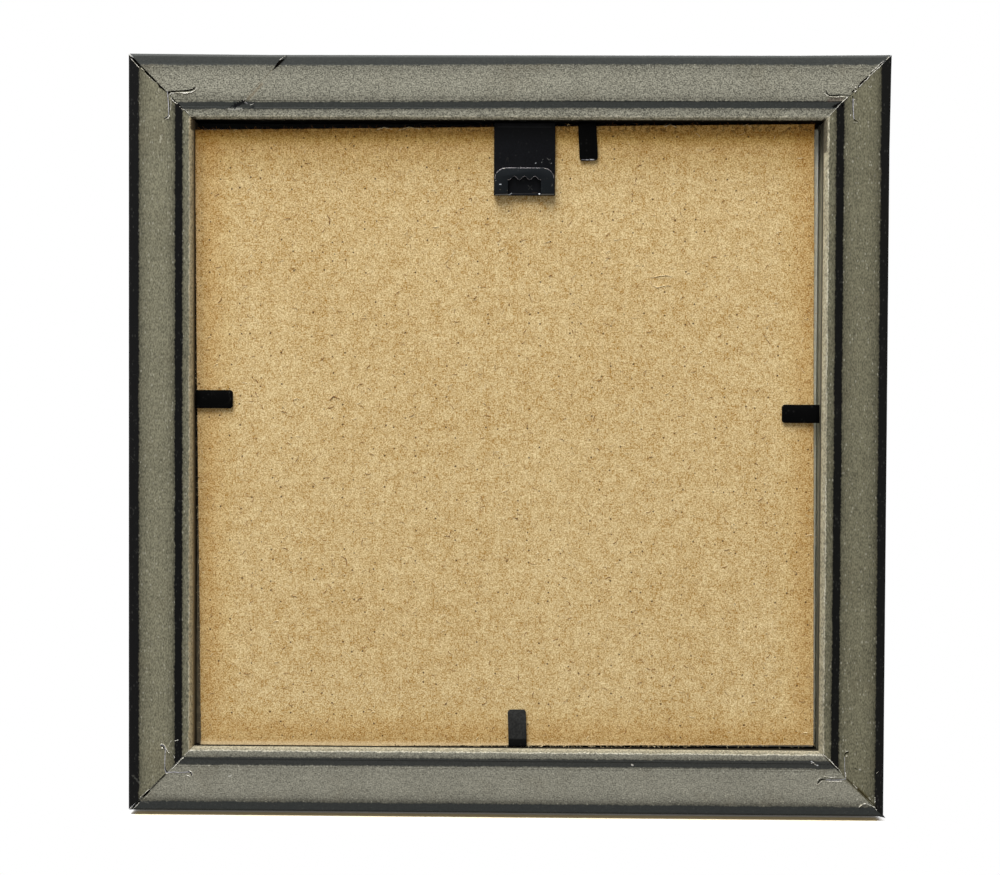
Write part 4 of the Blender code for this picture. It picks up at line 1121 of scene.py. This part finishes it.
def makeBoard():
    outline = boardOutline()
    count = len(outline)
    middle = Vector((sum(x for x, _ in outline) / count, sum(z for _, z in outline) / count))
    # each ring's level, how far the rounding pulls it in and how torn it is
    back, front = board["back"], board["front"]
    levels = [(back, 0.9, 1.0), (back - board["round"] * 0.3, 0.35, 0.8), (back - board["round"], 0.0, 0.5),
              (front + 0.0002, 0.0, 0.3), (front, 0.7, 0.3)]
    work = bmesh.new()
    rings = []
    for level, pull, tear in levels:
        ring = []
        for x, z in outline:
            fine = noise.noise(Vector((x * board["tear"], z * board["tear"], level * 900)))
            broad = noise.noise(Vector((x * board["swing"], z * board["swing"], 4.0)))
            nicked = noise.noise(Vector((x * board["nicks"], z * board["nicks"], 9.0))) - board["nickFrom"]
            nick = max(0.0, nicked) * board["nickDepth"]
            inward = pull * board["round"] + board["ragged"] * tear * (abs(fine) + nick + broad * 0.4)
            offX, offZ = middle.x - x, middle.y - z
            # straight in from the nearer side, so the corners stay square
            stepX = math.copysign(inward, offX) if abs(offX) > abs(offZ) - board["squareness"] else 0.0
            stepZ = math.copysign(inward, offZ) if abs(offZ) > abs(offX) - board["squareness"] else 0.0
            ring.append(work.verts.new((x + stepX, level, z + stepZ)))
        rings.append(ring)
    joinRings(work, rings)
    work.faces.new(rings[0])
    work.faces.new(rings[-1])
    piece = addPiece("fibreboard", work, 50.0)
    for cap in piece.data.polygons[-2:]:
        cap.use_smooth = False
    dress(piece, "frame", "backing_board", [pressedFibre])


# fibres along the board's edges and flat on it, for the tree of loose strands
edgeFuzz = {"Shortest": 0.0003, "Longest": 0.0011, "Thickness": 0.07, "Scatter": 0.00035, "Lift": 0.25}
flatFibres = {"Shortest": 0.0007, "Longest": 0.0022, "Thickness": 0.05, "Scatter": 0.003, "Lift": 0.02,
              "Rise": 0.005, "Roll": 0.0}
fibreRows = {"count": 33, "first": -0.096, "apart": 0.006, "lift": 0.00002}
# loose strands, as paths in pixels of the photo
strands = {
    "pale": (paleStrand, [
        [(376, 130), (384, 127.5), (393, 129.5)], [(398, 130.5), (409, 127.2), (421, 129.2)],
        [(664, 127), (670, 124.8), (677, 127.2)], [(742, 126), (747, 124.6), (752, 127.6)],
        [(567.4, 125.8), (568.6, 124), (570.2, 125)], [(493.4, 128.6), (494.4, 130.6)],
        [(293, 400), (297, 398), (300, 399.5)],
        [(649.5, 277.5), (655, 277), (661, 275.6), (667, 275.4), (672.5, 276.8)],
        [(650, 281), (652, 285), (657, 287.5), (663, 286), (668.5, 285.2), (672, 287)],
    ]),
    "dark": (darkStrand, [
        [(327, 215), (330, 219), (329, 225)], [(341, 556), (346, 559), (347, 566)],
        [(646, 668), (651, 670), (655, 668.5)], [(255, 392), (257, 395.5), (258.5, 396.5)],
        [(281, 411), (284, 412), (287, 413)], [(469, 199), (471, 198), (472, 200), (470.5, 202)],
        [(548.5, 276.5), (551, 275), (553, 276.5)], [(474, 299), (477, 296)],
        [(329.2, 400.6), (333.4, 396.4), (336.5, 397.6), (339.6, 398.6)],
    ]),
}


def fibreSpans(height):
    # what is left of a row clear of the tabs and the hanger
    if abs(height - 0.0095) < 0.01:
        return [(-0.082, 0.082)]
    if height > 0.070:
        return [(-0.096, -0.042), (0.012, 0.096)]
    if height < -0.084:
        return [(-0.096, -0.014), (0.006, 0.096)]
    return [(-0.096, 0.096)]


def makeFibres():
    outline = boardOutline()
    level = board["back"] - 0.00005
    top = [(x, level, z) for x, z in outline if z > 0.096]
    bottom = [(x, level, z) for x, z in outline if z < -0.099]
    sides = [(x, board["back"] - 0.0001, z) for x, z in outline if abs(x) > 0.098 and abs(z) < 0.097]
    left, right = [spot for spot in sides if spot[0] > 0], [spot for spot in sides if spot[0] < 0]
    rows = []
    level = board["back"] + fibreRows["lift"]
    for number in range(fibreRows["count"]):
        height = fibreRows["first"] + number * fibreRows["apart"]
        rows += [[(low, level, height), (high, level, height)] for low, high in fibreSpans(height)]
    for name, runs, look, spacing, seed, finish in (
            ("edge_fuzz", [top], edgeFuzz, 0.0005, 3, darkStrand),
            ("edge_fuzz_pale", [bottom], edgeFuzz, 0.00035, 5, paleStrand),
            ("edge_fuzz_sides", [left, right], edgeFuzz, 0.0009, 8, paleStrand),
            ("flat_fibres_dark", rows, flatFibres, 0.0125, 21, darkStrand),
            ("flat_fibres_pale", rows, flatFibres, 0.0105, 34, paleStrand)):
        drawPaths(name, fuzzTree, runs, dict(look, Spacing=spacing, Seed=seed, Finish=finish))
    for number, (tone, (finish, paths)) in enumerate(strands.items()):
        runs = [between([tuple(onPlane(spot, board["back"] + 0.00004)) for spot in path], 0.0005) for path in paths]
        drawPaths("strands_" + tone, beadTree, runs, {
            "Radius": 0.00011, "Uneven": 0.5, "Wander": 0.0004, "Step": 0.00015, "Seed": number + 11,
            "Finish": finish})


makeBoard()
makeGlassRims()
makeFibres()
print("board made")


# Black steel: the CAD shapes with their edges broken, and rubbed bare on the hanger's flap
fittings = {
    "hanger_strap": ("hanger_folded", "hanger", blackLacquer, 0.00009),
    "tab_top": ("point_top", "tab_top", deepLacquer, 0.00008),
    "tab_bottom": ("point_bottom", "tab_bottom", dullLacquer, 0.00008),
    "tab_left": ("point_left", "tab_left", deepLacquer, 0.00008),
    "tab_right": ("point_right", "tab_right", deepLacquer, 0.00008),
}
rubbed = {"above": 0.0811, "outside": 0.0052}
hangerFit = {"from": 0.0995, "share": 0.983}  # drawn in to the photo's length


def makeFitting(node, name, body, finish, width):
    work = bmesh.new()
    work.from_mesh(nodes[node].data)
    bmesh.ops.remove_doubles(work, verts=work.verts, dist=weld)
    bmesh.ops.recalc_face_normals(work, faces=work.faces)
    bmesh.ops.dissolve_limit(work, angle_limit=math.radians(0.5), verts=work.verts, edges=work.edges)
    if body == "hanger":
        for vertex in work.verts:
            below = max(0.0, hangerFit["from"] - vertex.co.z)
            vertex.co.z += below * (1 - hangerFit["share"])
    sharp = math.radians(40)
    corners = [edge for edge in work.edges if len(edge.link_faces) == 2 and edge.calc_face_angle(0.0) > sharp]
    bmesh.ops.bevel(work, geom=corners, offset=width, offset_type="OFFSET", segments=2, profile=0.5, affect="EDGES",
                    material=1, clamp_overlap=True)
    for face in work.faces:
        centre = face.calc_center_median()
        bare = body == "hanger" and centre.z > rubbed["above"] and centre.y > rubbed["outside"]
        face.material_index = 1 if face.material_index == 1 and bare else 0
    dress(addPiece(name, work, 35.0), body, node, [finish, rubbedEdge])


for node, facts in fittings.items():
    makeFitting(node, *facts)
plain = {"glass_pane": clearGlass, "picture_sheet": sheetPaper}
plain |= {name: blackLacquer for name in nodes if "shank" in name}
for name, material in plain.items():
    nodes[name].data.materials.clear()
    nodes[name].data.materials.append(material)
print("fittings finished")

# Floor, world and lamps
light = {"floor": -0.1235, "fill": 0.34, "frameHalf": 0.120, "warmReach": 0.0012, "whiteFrom": 0.002, "whiteAt": 0.02}
lamps = {"mainPanel": ((0.52, 0.82, 2.36), 1.5, 132.0), "frontPanel": ((-0.6, -2.0, 1.2), 1.2, 35.0)}


def seenRays(tree):
    # the rays that show the stage, against those that only light the frame
    rays = tree.put("ShaderNodeLightPath", output="Is Camera Ray")
    return rays.calc("MAXIMUM", rays.also("Is Glossy Ray")).calc("MAXIMUM", rays.also("Is Transmission Ray"))


def makeFloor():
    mesh = bpy.data.meshes.new("floor")
    work = bmesh.new()
    bmesh.ops.create_grid(work, x_segments=1, y_segments=1, size=4.0)
    work.to_mesh(mesh)
    work.free()
    floor = bpy.data.objects.new("floor", mesh)
    floor.location = (0.0, 0.0, light["floor"])
    scene.collection.objects.link(floor)
    material = bpy.data.materials.new("paleFloor")
    material.use_nodes = True
    tree = Tree(material.node_tree)
    tree.data.nodes.remove(tree.data.nodes["Principled BSDF"])
    x, y, _ = tree.split(tree.put("ShaderNodeTexCoord", output="Object"))
    beyondX = (abs(x) - light["frameHalf"]).calc("MAXIMUM", 0.0)
    beyondY = (abs(y) - rail["backY"]).calc("MAXIMUM", 0.0)
    away = ((beyondX * 5.0) ** 2.0 + beyondY ** 2.0).calc("SQRT")
    seen = seenRays(tree)
    # painted shade colour: warm right behind the frame, where its shadow lies, plain elsewhere, and white further off;
    # a painted lift glows for the camera, warmer on the frame's front side; the rest of the light sees it grey
    inFront = y.ease(0.004, 0.0)
    plainShare = away.ease(0.0, light["warmReach"]).calc("MAXIMUM", inFront)
    near = tree.blend(plainShare, (0.86, 0.76, 0.56, 1.0), (0.95, 0.95, 0.95, 1.0))
    glowTone = tree.blend(inFront, (0.100, 0.076, 0.036, 1.0), (0.085, 0.083, 0.080, 1.0))
    lit = tree.put("ShaderNodeBsdfDiffuse", {"Color": tree.blend(seen, (0.17, 0.165, 0.155, 1.0), near)})
    glow = tree.put("ShaderNodeEmission", {"Color": glowTone, "Strength": seen})
    white = tree.put("ShaderNodeEmission", {"Color": (1.0, 1.0, 1.0, 1.0), "Strength": 1.0})
    mixed = tree.put("ShaderNodeMixShader", {0: away.ease(light["whiteFrom"], light["whiteAt"]) * seen, 2: white,
                                             1: tree.put("ShaderNodeAddShader", {0: lit, 1: glow})})
    tree.fill(tree.data.nodes["Material Output"].inputs, {"Surface": mixed})
    mesh.materials.append(material)


def makeWorld():
    world = bpy.data.worlds.new("studio")
    scene.world = world
    world.use_nodes = True
    tree = Tree(world.node_tree)
    strength = tree.choose(seenRays(tree), light["fill"], 1.0)
    tree.fill(tree.data.nodes["Background"].inputs, {"Color": (1.0, 1.0, 1.0, 1.0), "Strength": strength})


def makeLamp(name, place, size, power):
    data = bpy.data.lights.new(name, "AREA")
    data.shape = "SQUARE"
    data.size = size
    data.energy = power
    lamp = bpy.data.objects.new(name, data)
    lamp.location = place
    lamp.rotation_euler = (-Vector(place)).to_track_quat("-Z", "Y").to_euler()
    scene.collection.objects.link(lamp)


makeFloor()
makeWorld()
for name, facts in lamps.items():
    makeLamp(name, *facts)
scene.view_settings.view_transform = "Standard"
print("stage lit")
